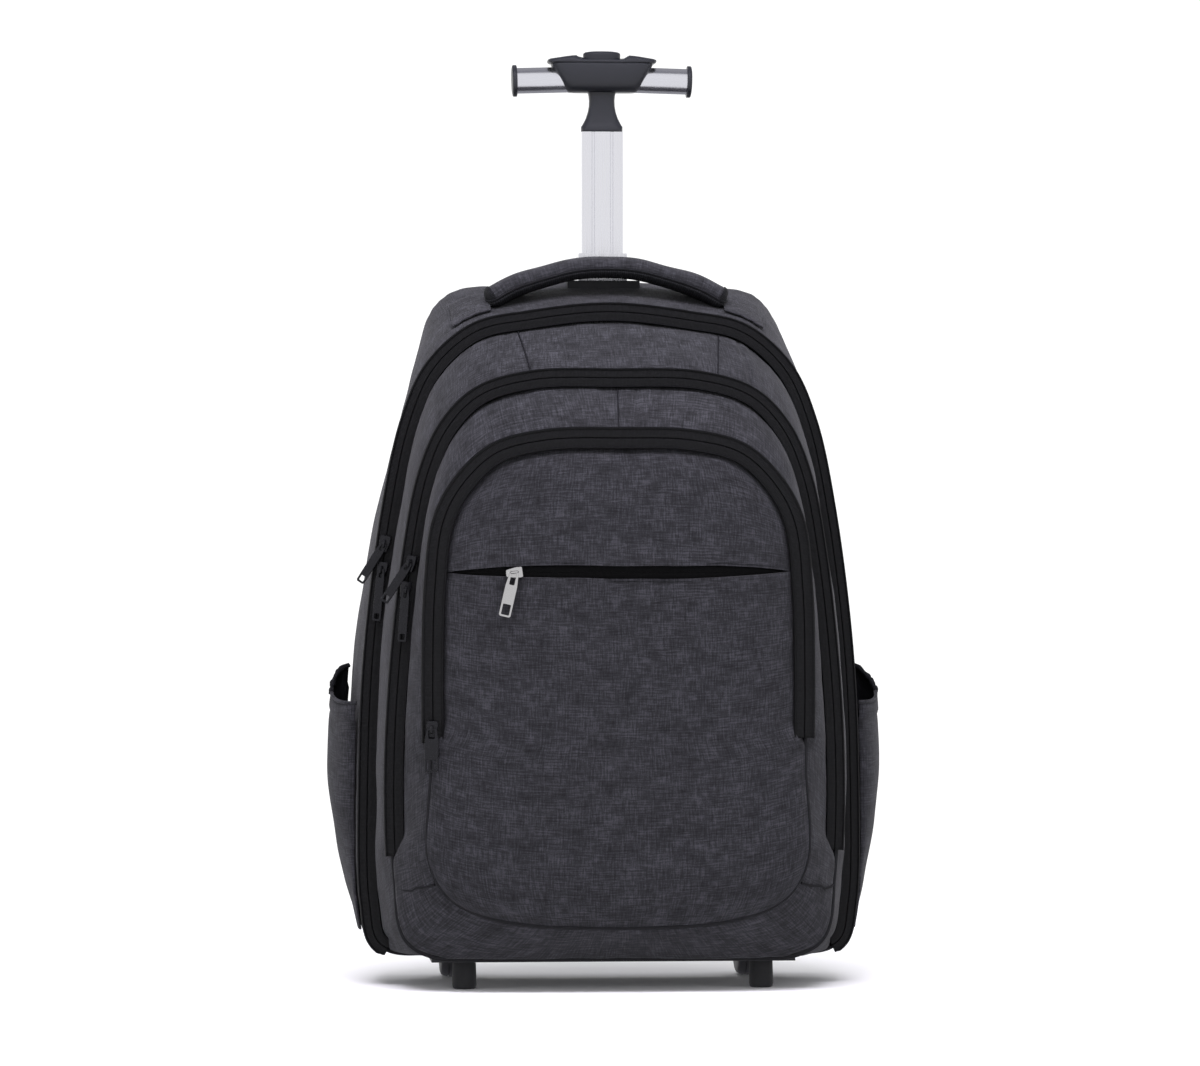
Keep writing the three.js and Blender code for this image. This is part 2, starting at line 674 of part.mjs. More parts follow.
function buildBase() {
  const top = BASE_HEIGHT - GAP;
  const plate = block(
    [-BASE_PLATE_HALF, BASE_PLATE_FRONT, top - BASE_PLATE],
    [BASE_PLATE_HALF, REAR_FACE - SOFT_EDGE, top],
  );
  const room = (side) => block(
    [side * WHEEL_OFFSET - housingSize(GAP).half, housingSize(GAP).front, 0],
    [side * WHEEL_OFFSET + housingSize(GAP).half, REAR_FACE, 2 * BASE_HEIGHT],
  );
  add('base_plate', cut(plate, room(-1), room(1)), blackPlastic());
  const height = top - BASE_PLATE - GAP;
  for (const [side, word] of [[-1, 'left'], [1, 'right']]) {
    const foot = rod(FOOT_RADIUS, height).rotateX(Math.PI / 2)
      .translate(side * FOOT_OFFSET, FOOT_Y, height / 2);
    add(`foot_${word}`, foot, rubber());
  }
}

// Telescopic pole
function flatTube(width, depth, wall, low, high) {
  const outside = block([-width / 2, -depth / 2, low], [width / 2, depth / 2, high]);
  const inside = block(
    [wall - width / 2, wall - depth / 2, low - wall],
    [width / 2 - wall, depth / 2 - wall, high + wall],
  );
  return cut(outside, inside).translate(0, POLE_Y, 0);
}

// Section of the drawn pole, from the middle of its front face to its side: across as a share of half
// the width, in as a share of the wall.
const FLUTE_ROWS = [
  { across: 0.36, inward: 0 }, { across: 0.4, inward: 0.5 }, { across: 0.48, inward: 0.5 },
  { across: 0.52, inward: 0 }, { across: 0.88, inward: 0 }, { across: 0.97, inward: 0.5 },
];

function poleSection() {
  const quarter = FLUTE_ROWS.map(
    (row) => [row.across * POLE_WIDTH / 2, POLE_DEPTH / 2 - row.inward * TUBE_WALL],
  );
  quarter.push([POLE_WIDTH / 2, POLE_DEPTH / 2 - TUBE_WALL]);
  const mirror = (points, x, y) => points.map(([across, deep]) => [across * x, deep * y]);
  const loop = [
    ...mirror(quarter, 1, 1),
    ...mirror(quarter, 1, -1).reverse(),
    ...mirror(quarter, -1, -1),
    ...mirror(quarter, -1, 1).reverse(),
  ];
  return new THREE.Shape(loop.map(([x, y]) => new THREE.Vector2(x, y)));
}

function buildPole() {
  const topWall = outlines.main[0].z
    + (outlines.rear[0].z - outlines.main[0].z) * (POLE_Y - CASING_DEPTH / 2 - MAIN_RIM) / MAIN_DEPTH;
  const floor = BASE_HEIGHT + CLOTH + SOFT_EDGE + GAP;
  add('trolley_casing',
    flatTube(CASING_WIDTH, CASING_DEPTH, CASING_WALL, floor, topWall - 2 * CLOTH), aluminium());
  add('mid_tube',
    flatTube(MID_WIDTH, MID_DEPTH, TUBE_WALL, MID_TUBE_TOP - MID_TUBE_LENGTH, MID_TUBE_TOP), aluminium());
  const drawn = new THREE.ExtrudeGeometry(poleSection(), { depth: POLE_LENGTH, bevelEnabled: false });
  const bore = block(
    [2 * TUBE_WALL - POLE_WIDTH / 2, 2 * TUBE_WALL - POLE_DEPTH / 2, -TUBE_WALL],
    [POLE_WIDTH / 2 - 2 * TUBE_WALL, POLE_DEPTH / 2 - 2 * TUBE_WALL, POLE_LENGTH + TUBE_WALL],
  );
  add('inner_tube', cut(drawn, bore).translate(0, POLE_Y, POLE_TOP - POLE_LENGTH), aluminium());
  const collarTop = Math.max(topWall + COLLAR_HEIGHT, outlines.rear[0].z + COLLAR_LIP);
  const collar = block(
    [-CASING_WIDTH / 2 - COLLAR_MARGIN, POLE_Y - CASING_DEPTH / 2 - COLLAR_MARGIN, topWall - COLLAR_MARGIN],
    [CASING_WIDTH / 2 + COLLAR_MARGIN, REAR_FACE, collarTop],
  );
  const passage = block(
    [-MID_WIDTH / 2 - SLIDE_PLAY, POLE_Y - MID_DEPTH / 2 - SLIDE_PLAY, 0],
    [MID_WIDTH / 2 + SLIDE_PLAY, POLE_Y + MID_DEPTH / 2 + SLIDE_PLAY, POLE_TOP],
  );
  add('pole_collar', cut(collar, passage, mainOutside(GAP)), blackPlastic());
}

// Rounded block sections for the neck and the grip: half width, half depth and squareness of the corners.
const BLOCK_SIDES = 16;
function roundedSection(width, depth, z, squareness) {
  return Array.from({ length: BLOCK_SIDES }, (_, k) => {
    const turn = (2 * Math.PI * (k + 0.5)) / BLOCK_SIDES;
    const power = (value) => Math.sign(value) * Math.abs(value) ** squareness;
    const [across, deep] = [power(Math.cos(turn)) * width / 2, power(Math.sin(turn)) * depth / 2];
    return new THREE.Vector3(across, POLE_Y + deep, z);
  });
}

// Neck from its foot up: rise and width as shares of NECK_HEIGHT and POLE_WIDTH, depth of POLE_DEPTH.
const NECK_ROWS = [
  { rise: 0, width: 0.98, depth: 1.05 }, { rise: 0.1, width: 0.94, depth: 1.02 },
  { rise: 0.35, width: 0.74, depth: 0.9 }, { rise: 0.62, width: 0.58, depth: 0.82 },
  { rise: 0.84, width: 0.56, depth: 0.82 }, { rise: 1, width: 0.64, depth: 0.9 },
];

// Grip from its foot up: rise of GRIP_HEIGHT, spread from the foot width to the top width and
// depth of GRIP_DEPTH.
const GRIP_ROWS = [
  { rise: 0, spread: -0.16, depth: 0.62 }, { rise: 0.14, spread: 0.04, depth: 0.86 },
  { rise: 0.4, spread: 0.34, depth: 0.98 }, { rise: 0.72, spread: 0.74, depth: 1 },
  { rise: 0.9, spread: 0.98, depth: 0.94 }, { rise: 1, spread: 0.96, depth: 0.78 },
];
const SOFT_CORNER = 0.62;

function buildGrip() {
  const neckFoot = POLE_TOP + GAP;
  add('handle_neck', loft(NECK_ROWS.map((row) => roundedSection(
    row.width * POLE_WIDTH,
    row.depth * POLE_DEPTH,
    neckFoot + row.rise * NECK_HEIGHT,
    SOFT_CORNER,
  ))), blackPlastic());

  const body = loft(GRIP_ROWS.map((row) => roundedSection(
    THREE.MathUtils.lerp(GRIP_FOOT_WIDTH, GRIP_TOP_WIDTH, row.spread),
    row.depth * GRIP_DEPTH,
    GRIP_FOOT + row.rise * GRIP_HEIGHT,
    SOFT_CORNER,
  )));
  const barHeight = GRIP_FOOT + BAR_RADIUS;
  const droop = THREE.MathUtils.degToRad(BAR_DROOP_DEG);
  const sockets = [];
  for (const [side, word] of [[-1, 'left'], [1, 'right']]) {
    const half = new THREE.Group();
    half.position.set(side * BAR_SOCKET, POLE_Y, barHeight);
    half.rotation.y = side * droop;
    bag.add(half);
    const stub = BAR_LENGTH / 2 - BAR_SOCKET - CAP_THICK - GAP;
    const bar = rod(BAR_RADIUS, stub).rotateZ(Math.PI / 2).translate(side * stub / 2, 0, 0);
    add(`bar_${word}`, bar, aluminium(), half);
    const cap = rod(CAP_RADIUS, CAP_THICK).rotateZ(Math.PI / 2)
      .translate(side * (stub + GAP + CAP_THICK / 2), 0, 0);
    add(`bar_cap_${word}`, cap, blackPlastic(), half);
    const room = rod(BAR_RADIUS + GAP, stub + GAP).rotateZ(Math.PI / 2)
      .translate(side * (stub - GAP) / 2, 0, 0).rotateY(side * droop)
      .translate(side * BAR_SOCKET, POLE_Y, barHeight);
    sockets.push(room);
  }
  const well = buttonBlock(GRIP_TOP - 2 * BUTTON_TRAVEL - GAP, GRIP_TOP + BUTTON_PROUD, GAP);
  add('handle_grip', cut(body, ...sockets, well), blackPlastic());
  add('push_button', buttonBlock(GRIP_TOP - BUTTON_TRAVEL, GRIP_TOP + BUTTON_PROUD, 0), blackPlastic());
}

// An oval upright block in the middle of the grip.
function buttonBlock(low, high, clearance) {
  return new THREE.CylinderGeometry(1, 1, high - low, ROUND_SIDES)
    .rotateX(Math.PI / 2)
    .scale(BUTTON_LENGTH / 2 + clearance, BUTTON_WIDTH / 2 + clearance, 1)
    .translate(0, POLE_Y, (low + high) / 2);
}

// Zip sliders and pulls. The local frame has its Z up the zip, -Y out of the cloth and the pull's bar at 0.
function slider(turnedSideways) {
  const [wide, long] = turnedSideways ? [SLIDER_LENGTH, SLIDER_WIDTH] : [SLIDER_WIDTH, SLIDER_LENGTH];
  const face = BRIDGE_ROOM / 2;
  const shoe = block([-wide / 2, face, -long / 2], [wide / 2, face + SLIDER_THICK, long / 2]);
  const bridge = block(
    [-BRIDGE_WIDTH / 2, -face - BRIDGE_STOCK, -BRIDGE_LENGTH / 2],
    [BRIDGE_WIDTH / 2, face + BRIDGE_STOCK, BRIDGE_LENGTH / 2],
  );
  const room = block(
    [-BRIDGE_WIDTH, -face, BRIDGE_STOCK - BRIDGE_LENGTH / 2],
    [BRIDGE_WIDTH, face, BRIDGE_LENGTH / 2 - BRIDGE_STOCK],
  );
  return join(cut(bridge, room), shoe);
}

function pull(length, width, windowLength) {
  const plate = block(
    [-width / 2, -PULL_THICK / 2, PULL_BAR / 2 - length],
    [width / 2, PULL_THICK / 2, PULL_BAR / 2],
  );
  const eye = block(
    [EYE_ARM - width / 2, -PULL_THICK, -PULL_BAR / 2 - EYE_LENGTH],
    [width / 2 - EYE_ARM, PULL_THICK, -PULL_BAR / 2],
  );
  const windowLow = PULL_BAR / 2 - length + EYE_ARM;
  const window = block(
    [EYE_ARM - width / 2, -PULL_THICK, windowLow],
    [width / 2 - EYE_ARM, PULL_THICK, windowLow + windowLength],
  );
  return cut(plate, eye, window);
}

// A frame on the left run of a zip at one height.
function zipPlace(points, rimY, height) {
  const left = points.slice(points.length / 2);
  const upper = left.findIndex((point) => point.z >= height);
  const low = left[upper - 1];
  const high = left[upper];
  const share = (height - low.z) / (high.z - low.z);
  const up = new THREE.Vector3(high.x - low.x, 0, high.z - low.z).normalize();
  const lean = Math.atan2(ZIP_LEAN, ZIP_WIDTH);
  const inwards = new THREE.Vector3(up.z, 0, -up.x).multiplyScalar(Math.cos(lean)).setY(-Math.sin(lean));
  const into = up.clone().cross(inwards);
  const out = low.x + (high.x - low.x) * share;
  const seat = new THREE.Vector3(out, rimY - GAP - ZIP_THICK - ZIP_LEAN / 2, height);
  return { seat, across: inwards, into, up };
}

// A frame on the crowned front panel, level with the highest cloth under a slider.
function panelPlace(x, z) {
  const [edgeRing] = panelRings(0);
  const centre = edgeRing.reduce((sum, point) => sum + point.z, 0) / edgeRing.length;
  const inner = Math.sign(x) * (Math.abs(x) - SLIDER_LENGTH / 2);
  const bearing = Math.atan2(z - centre, inner);
  const offBearing = (point) => Math.abs(Math.atan2(point.z - centre, point.x) - bearing);
  const limit = edgeRing.reduce((best, point) => (offBearing(point) < offBearing(best) ? point : best));
  const edge = Math.hypot(inner, z - centre) / Math.hypot(limit.x, limit.z - centre);
  const outer = PANEL_ROWS.findIndex((row) => row.share <= edge);
  const near = PANEL_ROWS[outer - 1];
  const far = PANEL_ROWS[outer];
  const share = (near.share - edge) / (near.share - far.share);
  const crown = near.crown + (far.crown - near.crown) * share;
  return {
    seat: new THREE.Vector3(x, FRONT_RIM - GAP - PANEL_CROWN * crown, z),
    across: new THREE.Vector3(1, 0, 0),
    into: new THREE.Vector3(0, 1, 0),
    up: new THREE.Vector3(0, 0, 1),
  };
}

const MAIN_ZIP = [outlines.main, MAIN_RIM];
const MIDDLE_ZIP = [outlines.middle, MIDDLE_RIM];
const FRONT_ZIP = [outlines.front, FRONT_RIM];

// One row for each slider on a zip: up as a share of BODY_HEIGHT above the base cloth, its pull's length,
// width and window, and in degrees how far the pull leans to the left and lifts off the cloth.
const SLIDERS = [
  { name: 'main_upper', zip: MAIN_ZIP, up: 0.6053, length: 34, width: 7, window: 5, lean: 26, lift: 0 },
  { name: 'main_lower', zip: MAIN_ZIP, up: 0.5668, length: 38, width: 7, window: 5, lean: -2, lift: 0 },
  { name: 'middle_upper', zip: MIDDLE_ZIP, up: 0.5769, length: 34, width: 7, window: 5, lean: 26, lift: 0 },
  { name: 'middle_lower', zip: MIDDLE_ZIP, up: 0.5385, length: 38, width: 7, window: 5, lean: -2, lift: 0 },
  { name: 'front', zip: FRONT_ZIP, up: 0.3381, length: 31, width: 10, window: 8, lean: 0, lift: 6 },
];

// The slider of the pocket slit lies sideways: out as a share of SLIT_HALF.
const POCKET_SLIDER = { name: 'pocket', out: -0.644, length: 33, width: 8, window: 7, lean: 13, lift: 2 };

function addSlider(row, place, sideways, metal) {
  const { seat, across, into, up } = place;
  const holder = new THREE.Group();
  holder.quaternion.setFromRotationMatrix(new THREE.Matrix4().makeBasis(across, into, up));
  holder.position.copy(seat).addScaledVector(into, -(SLIDER_THICK + GAP + BRIDGE_ROOM / 2));
  bag.add(holder);
  add(`slider_${row.name}`, slider(sideways), metal(), holder);
  const tag = add(`pull_${row.name}`, pull(row.length, row.width, row.window), metal(), holder);
  tag.rotation.set(THREE.MathUtils.degToRad(-row.lift), THREE.MathUtils.degToRad(row.lean), 0);
}

function buildSliders() {
  for (const row of SLIDERS) {
    addSlider(row, zipPlace(...row.zip, BASE_HEIGHT + row.up * BODY_HEIGHT), false, blackMetal);
  }
  addSlider(POCKET_SLIDER, panelPlace(POCKET_SLIDER.out * SLIT_HALF, SLIT_HEIGHT), true, aluminium);
}

buildCompartments();
buildFrontPanel();
buildBackPanel();
buildZips();
buildBase();
buildPole();
buildGrip();
buildGrabHandle();
buildSliders();
for (const [side, word] of [[-1, 'left'], [1, 'right']]) {
  add(`side_pocket_${word}`, pocket(side), cloth());
  buildStraps(side, word);
  buildWheel(side, word);
}

// The origin is the middle of the footprint, on the floor.
bag.updateMatrixWorld(true);
const box = new THREE.Box3().setFromObject(bag);
const middle = box.getCenter(new THREE.Vector3());
bag.position.set(-middle.x, -middle.y, -box.min.z);

export default bag;
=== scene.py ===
# %% [markdown]
# # A wheeled backpack, dressed for a studio picture
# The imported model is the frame: it fixes every size and every moving body. This notebook puts the looks on
# it. Lengths below are typed in millimetres and turned into metres in one place.

import json
import math

import bmesh
import bpy
import numpy as np
from mathutils import Matrix, Vector, noise


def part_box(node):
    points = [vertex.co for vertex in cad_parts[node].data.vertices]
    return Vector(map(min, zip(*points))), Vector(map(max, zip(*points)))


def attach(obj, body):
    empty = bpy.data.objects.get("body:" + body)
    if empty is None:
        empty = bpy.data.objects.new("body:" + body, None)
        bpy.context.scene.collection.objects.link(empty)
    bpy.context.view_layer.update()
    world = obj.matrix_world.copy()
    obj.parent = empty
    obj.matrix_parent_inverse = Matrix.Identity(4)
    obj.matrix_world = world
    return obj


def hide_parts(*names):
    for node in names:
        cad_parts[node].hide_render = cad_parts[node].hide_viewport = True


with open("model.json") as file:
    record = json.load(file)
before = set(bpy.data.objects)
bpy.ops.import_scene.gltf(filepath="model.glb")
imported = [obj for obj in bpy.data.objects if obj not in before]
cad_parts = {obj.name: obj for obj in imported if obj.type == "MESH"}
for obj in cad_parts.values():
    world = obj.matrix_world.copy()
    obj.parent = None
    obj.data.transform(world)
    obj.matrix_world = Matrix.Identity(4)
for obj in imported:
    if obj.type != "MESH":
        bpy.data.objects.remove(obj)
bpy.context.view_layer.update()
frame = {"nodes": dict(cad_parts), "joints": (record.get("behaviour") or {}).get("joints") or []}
MM = 0.001
SIDES = (("left", -1), ("right", 1))


def box_mm(node_name):
    """The low and high corner of a frame node in millimetres."""
    return [np.array(corner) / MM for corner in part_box(node_name)]


def placed(name, data):
    """A new object in the scene that shows some data."""
    made = bpy.data.objects.new(name, data)
    bpy.context.scene.collection.objects.link(made)
    return made


# %% [markdown]
# ## Camera
# The picture was taken with a long lens from about four metres, level with the slit of the front pocket and
# a few degrees to the left of straight on. A long lens keeps the zips and the pole parallel. The angle was
# found from the amount of the left side that shows.

# %% Camera
CAMERA_TURN = math.atan2(0.075, 0.9972)
CAMERA_AWAY = 4.085
LENS_MM, SENSOR_MM = 163.7, 36
AIM = Vector((0, 0.0691, 0.330))
camera_data = bpy.data.cameras.new("studio_camera")
camera_data.lens, camera_data.sensor_width = LENS_MM, SENSOR_MM
camera = placed("studio_camera", camera_data)
camera.location = AIM - CAMERA_AWAY * Vector((math.sin(CAMERA_TURN), math.cos(CAMERA_TURN), 0))
camera.rotation_euler = (math.pi / 2, 0, -CAMERA_TURN)
bpy.context.scene.camera = camera
print("camera at", [round(value, 3) for value in camera.location])

# %% [markdown]
# ## Mesh helpers
# Nearly everything soft is a grid of points: rows that are laid one after the other, like courses of
# knitting. One helper turns rows into a smooth mesh with a flat map of the cloth in metres, so that a weave
# keeps its real size on every piece. Plain mesh code is used because the rows come from the same tables as
# the frame.


# %% Mesh helpers
SHARP_FOLD = math.radians(48)


def to_mesh(name, points, faces, flat):
    """A smooth object from points in millimetres. flat has a place in metres for each corner of a face."""
    mesh = bpy.data.meshes.new(name)
    mesh.from_pydata((np.asarray(points, float) * MM).tolist(), [], faces)
    layer = mesh.uv_layers.new(name="cloth_map")
    layer.data.foreach_set("uv", np.asarray(flat, np.float32).ravel())
    work = bmesh.new()
    work.from_mesh(mesh)
    bmesh.ops.recalc_face_normals(work, faces=work.faces)
    work.to_mesh(mesh)
    work.free()
    mesh.polygons.foreach_set("use_smooth", [True] * len(mesh.polygons))
    mesh.set_sharp_from_angle(angle=SHARP_FOLD)
    return placed(name, mesh)


def walked(points):
    """Distance walked from the first point to each point."""
    steps = np.linalg.norm(np.diff(points, axis=0), axis=1)
    return np.concatenate([[0], np.cumsum(steps)])


def skin(name, rows, around=True, ends=0):
    """A skin over rows of points. around closes each row, ends fills the first (1) or both (2) end rows."""
    rows = np.asarray(rows, float)
    count, size = rows.shape[:2]
    middle = rows[count // 2]
    along = walked(np.vstack([middle, middle[:1]]) if around else middle) * MM
    along -= along[-1] / 2
    across = walked(np.vstack([rows.mean(axis=1), rows[:1].mean(axis=1)])) * MM
    first = rows[:, size // 4]
    across = np.maximum(across, walked(np.vstack([first, first[:1]])) * MM)
    faces, flat = [], []
    for r in range(count - 1):
        for c in range(size if around else size - 1):
            near, far = r * size, (r + 1) * size
            after = (c + 1) % size
            faces.append((near + c, near + after, far + after, far + c))
            flat += [(along[c], across[r]), (along[c + 1], across[r])]
            flat += [(along[c + 1], across[r + 1]), (along[c], across[r + 1])]
    if ends:
        for start in (0, (count - 1) * size)[:ends]:
            for k in range(size // 2 - 1):
                faces.append((start + k, start + k + 1, start + size - 2 - k, start + size - 1 - k))
                spots = rows.reshape(-1, 3)[list(faces[-1])] * MM
                flat += [(spot[0], spot[2]) for spot in spots]
    return to_mesh(name, rows.reshape(-1, 3), faces, flat)


def dress(piece, body, slot, material, *nodes):
    """Gives a piece its material and its body, and hides the frame nodes that it stands for. slot is not
    used.
    """
    if material is not None:
        piece.data.materials.append(material)
    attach(piece, body)
    if nodes:
        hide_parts(*nodes)
    return piece


def as_shown(piece):
    """The mesh of a piece or a curve as its modifiers leave it."""
    graph = bpy.context.evaluated_depsgraph_get()
    return bpy.data.meshes.new_from_object(piece.evaluated_get(graph))


def applied(piece, kind, **settings):
    """Adds one modifier and applies it at once."""
    modifier = piece.modifiers.new(kind.lower(), kind)
    for key, value in settings.items():
        setattr(modifier, key, value)
    shaped = as_shown(piece)
    piece.modifiers.clear()
    piece.data = shaped
    return piece


def crumple(piece, size, height, seed):
    """Soft dents: each point moves along its normal by smooth noise. size and height are in millimetres."""
    mesh = piece.data
    spots = np.array([point.co for point in mesh.vertices])
    normals = np.array([point.normal for point in mesh.vertices])
    scale = 1 / (size * MM)
    lift = np.array([noise.noise(Vector(spot * scale) + Vector((seed, 0, 0))) for spot in spots])
    mesh.vertices.foreach_set("co", (spots + normals * lift[:, None] * height * MM).ravel())
    mesh.update()
    return piece


# %% [markdown]
# ## Material helpers
# Colours are picked as they look on a screen, and the renderer wants them linear, so one function converts
# them. A second function adds a node, sets its values and plugs its wires, which keeps each material short
# enough to read.


# %% Material helpers
def linear(code):
    """Screen colour '#rrggbb' as linear red, green, blue and alpha."""
    parts = [int(code[k : k + 2], 16) / 255 for k in (1, 3, 5)]
    return tuple(p / 12.92 if p <= 0.04045 else ((p + 0.055) / 1.055) ** 2.4 for p in parts) + (1,)


def node(tree, kind, settings=(), wires=()):
    """Adds one node. settings are attributes or free inputs, wires are inputs with the output they take."""
    made = tree.nodes.new("ShaderNode" + kind)
    for key, value in dict(settings).items():
        if isinstance(key, str) and hasattr(made, key):
            setattr(made, key, value)
        else:
            made.inputs[key].default_value = value
    for key, output in dict(wires).items():
        tree.links.new(output, made.inputs[key])
    return made


def new_material(name, **values):
    """A material with its shader. values are set on the shader's own sockets."""
    material = bpy.data.materials.new(name)
    material.use_nodes = True
    tree = material.node_tree
    shader = tree.nodes["Principled BSDF"]
    for key, value in values.items():
        shader.inputs[key.replace("_", " ")].default_value = value
    return material, tree, shader


def plug(tree, output, shader, name):
    """Wires an output to one input of the shader."""
    tree.links.new(output, shader.inputs[name])


def place_in(tree, mapped):
    """Where a point lies: on the flat map of the cloth, or in space."""
    return node(tree, "TexCoord").outputs["UV" if mapped else "Object"]


def ramp(tree, source, stops):
    """A colour ramp through stops of (place, colour code)."""
    made = node(tree, "ValToRGB", wires={"Fac": source})
    bar = made.color_ramp
    while len(bar.elements) < len(stops):
        bar.elements.new(0.5)
    for element, (place, code) in zip(bar.elements, stops):
        element.position = place
        element.color = linear(code)
    return made.outputs["Color"]


def stretched_noise(tree, place, scale, detail=2, seed=0):
    """Noise whose grains have the given size in metres along each axis."""
    mapping = node(tree, "Mapping", {"Scale": [1 / size for size in scale], "Location": (seed, seed, seed)},
                   {"Vector": place})
    grains = node(tree, "TexNoise", {"Scale": 1, "Detail": detail}, {"Vector": mapping.outputs["Vector"]})
    return grains.outputs["Fac"]


def maths(tree, operation, first, second):
    """One sum on two inputs, each an output or a number."""
    made = node(tree, "Math", {"operation": operation})
    for key, value in enumerate((first, second)):
        if isinstance(value, (int, float)):
            made.inputs[key].default_value = value
        else:
            tree.links.new(value, made.inputs[key])
    return made.outputs[0]


def vary_gloss(tree, shader, level, roughness, amount):
    """Roughness that wanders by the given amount with a level from 0 to 1."""
    spread = maths(tree, "MULTIPLY", maths(tree, "SUBTRACT", level, 0.5), amount)
    plug(tree, maths(tree, "ADD", spread, roughness), shader, "Roughness")


def raise_surface(tree, shader, height, distance_mm, strength):
    """A bump whose full height is given in millimetres."""
    made = node(tree, "Bump", {"Distance": distance_mm * MM, "Strength": strength}, {"Height": height})
    plug(tree, made.outputs["Normal"], shader, "Normal")


# %% [markdown]
# ## Melange cloth
# The bag is sewn from melange polyester canvas: grey and near-black yarns of uneven thickness are woven
# together, so short lighter and darker streaks run along both thread directions, over slow patches about 2
# cm wide. A repeated picture would show its repeat, so each thread direction is a noise that is stretched
# along its yarn. Real yarns are about 0.4 mm apart, finer than the picture can hold, so they are drawn 1.1
# mm apart.

# %% Melange cloth
YARN, STREAK, CLOUD = 1.1 * MM, 12 * MM, 18 * MM
GRAIN_WEIGHT, CLOUD_WEIGHT = 0.5, 0.6
CANVAS_COLOURS = ("#141416", "#242427", "#3c3c41")


def melange(name, mapped):
    """Polyester canvas with matt fibres: almost no gloss, and a faint rim where the fuzz catches light."""
    material, tree, shader = new_material(name, Roughness=0.92, IOR=1.5, Specular_IOR_Level=0.15,
                                          Sheen_Weight=0.06, Sheen_Roughness=0.5)
    place = place_in(tree, mapped)
    weft = stretched_noise(tree, place, (STREAK, YARN, STREAK), 2, 3)
    warp = stretched_noise(tree, place, (YARN, STREAK * 0.8, YARN), 2, 11)
    cloud = stretched_noise(tree, place, (CLOUD, 12 * MM, CLOUD), 2, 5)
    grain = stretched_noise(tree, place, (YARN * 0.9,) * 3, 1, 8)
    yarns = maths(tree, "ADD", weft, warp)
    for extra, weight in ((grain, GRAIN_WEIGHT), (cloud, CLOUD_WEIGHT)):
        yarns = maths(tree, "ADD", yarns, maths(tree, "MULTIPLY", extra, weight))
    level = maths(tree, "DIVIDE", yarns, 2 + GRAIN_WEIGHT + CLOUD_WEIGHT)
    colour = ramp(tree, level, list(zip((0.36, 0.5, 0.66), CANVAS_COLOURS)))
    plug(tree, colour, shader, "Base Color")
    raise_surface(tree, shader, level, 1.4, 0.5)
    return material


CLOTH = melange("polyester_melange_canvas", mapped=True)
PLAIN_CLOTH = melange("polyester_melange_pads", mapped=False)
print("cloth:", CLOTH.name, "and", PLAIN_CLOTH.name)

# %% [markdown]
# ## Tapes, webbing and mesh
# Zip tape and webbing are woven narrow, so fine ribs run across them. Spacer mesh is a knit with rows of
# small holes. Ribs are a wave and the holes are the cells of a fine Voronoi pattern, both as height and as
# colour: the hollows between the ribs and the holes are painted darker, which is painted shade, and on the
# tapes a noise adds the uneven tone of the yarn.

# %% Tapes, webbing and mesh
WAVES_PER_UNIT = 3.18
MESH_HOLE = 2.4 * MM


def ribbed(name, dark, light, rib_mm, roughness, direction="X"):
    """Woven tape with ribs: the yarn has a dull silky shine."""
    material, tree, shader = new_material(name, Roughness=roughness, IOR=1.5, Specular_IOR_Level=0.25)
    place = place_in(tree, True)
    settings = {"bands_direction": direction, "Scale": 1 / (rib_mm * MM * WAVES_PER_UNIT), "Distortion": 0.6,
                "Detail": 1}
    ribs = node(tree, "TexWave", settings, {"Vector": place}).outputs["Fac"]
    uneven = stretched_noise(tree, place, (3 * MM,) * 3, 2, 2)
    # Colour follows the ribs times an uneven noise: the noise is the yarn's own uneven tone, and the darker
    # hollows between the ribs are painted shade.
    level = maths(tree, "MULTIPLY", ribs, uneven)
    plug(tree, ramp(tree, level, [(0.05, dark), (0.75, light)]), shader, "Base Color")
    raise_surface(tree, shader, ribs, 0.25, 0.6)
    return material


ZIP_TAPE = ribbed("woven_zip_tape", "#050506", "#121214", 1.0, 0.65)
# The slit's zip tape is the same tape painted darker: painted shade for the shadow that the lips of the slit
# cast on it.
SHADED_SLIT_TAPE = ribbed("shaded_zip_tape", "#020203", "#060607", 1.0, 0.9)
WEBBING = ribbed("woven_webbing", "#0c0c0e", "#242428", 1.6, 0.7, "Y")
BINDING = ribbed("woven_binding", "#0b0b0d", "#222226", 1.2, 0.75)


def spacer_mesh():
    """Knitted spacer fabric: matt, with rows of small holes."""
    material, tree, shader = new_material("knitted_spacer_mesh", Roughness=0.85, IOR=1.5,
                                          Specular_IOR_Level=0.2)
    cells = node(tree, "TexVoronoi", {"Scale": 1 / MESH_HOLE, "Randomness": 0.25},
                 {"Vector": place_in(tree, False)}).outputs["Distance"]
    # The holes at the middle of each cell are painted near black: painted shade in the holes.
    colour = ramp(tree, cells, [(0.1, "#060607"), (0.45, "#1c1c20"), (0.8, "#2f2f35")])
    plug(tree, colour, shader, "Base Color")
    raise_surface(tree, shader, cells, 1.0, 0.8)
    return material


SPACER_MESH = spacer_mesh()
print("tapes:", ZIP_TAPE.name, SHADED_SLIT_TAPE.name, WEBBING.name, BINDING.name, SPACER_MESH.name)

# %% [markdown]
# ## Plastics and rubber
# The base, housings and hubs are moulded polypropylene with a spark-eroded grain; the grip is satin ABS
# from a finer mould; the feet are rubber and the tyres soft polyurethane. Each is a dark dielectric. What
# tells them apart is how wide their gloss is and how coarse their grain is.

# %% Plastics and rubber
WEAR = 22 * MM


def moulded(name, code, roughness, grain_mm, height_mm):
    """A moulded dielectric: even colour, gloss that varies a little and a fine mould grain."""
    material, tree, shader = new_material(name, Base_Color=linear(code), IOR=1.46)
    place = place_in(tree, False)
    grain = stretched_noise(tree, place, (grain_mm * MM,) * 3, 3)
    vary_gloss(tree, shader, stretched_noise(tree, place, (WEAR,) * 3, 2, 4), roughness, 0.22)
    raise_surface(tree, shader, grain, height_mm, 0.5)
    return material


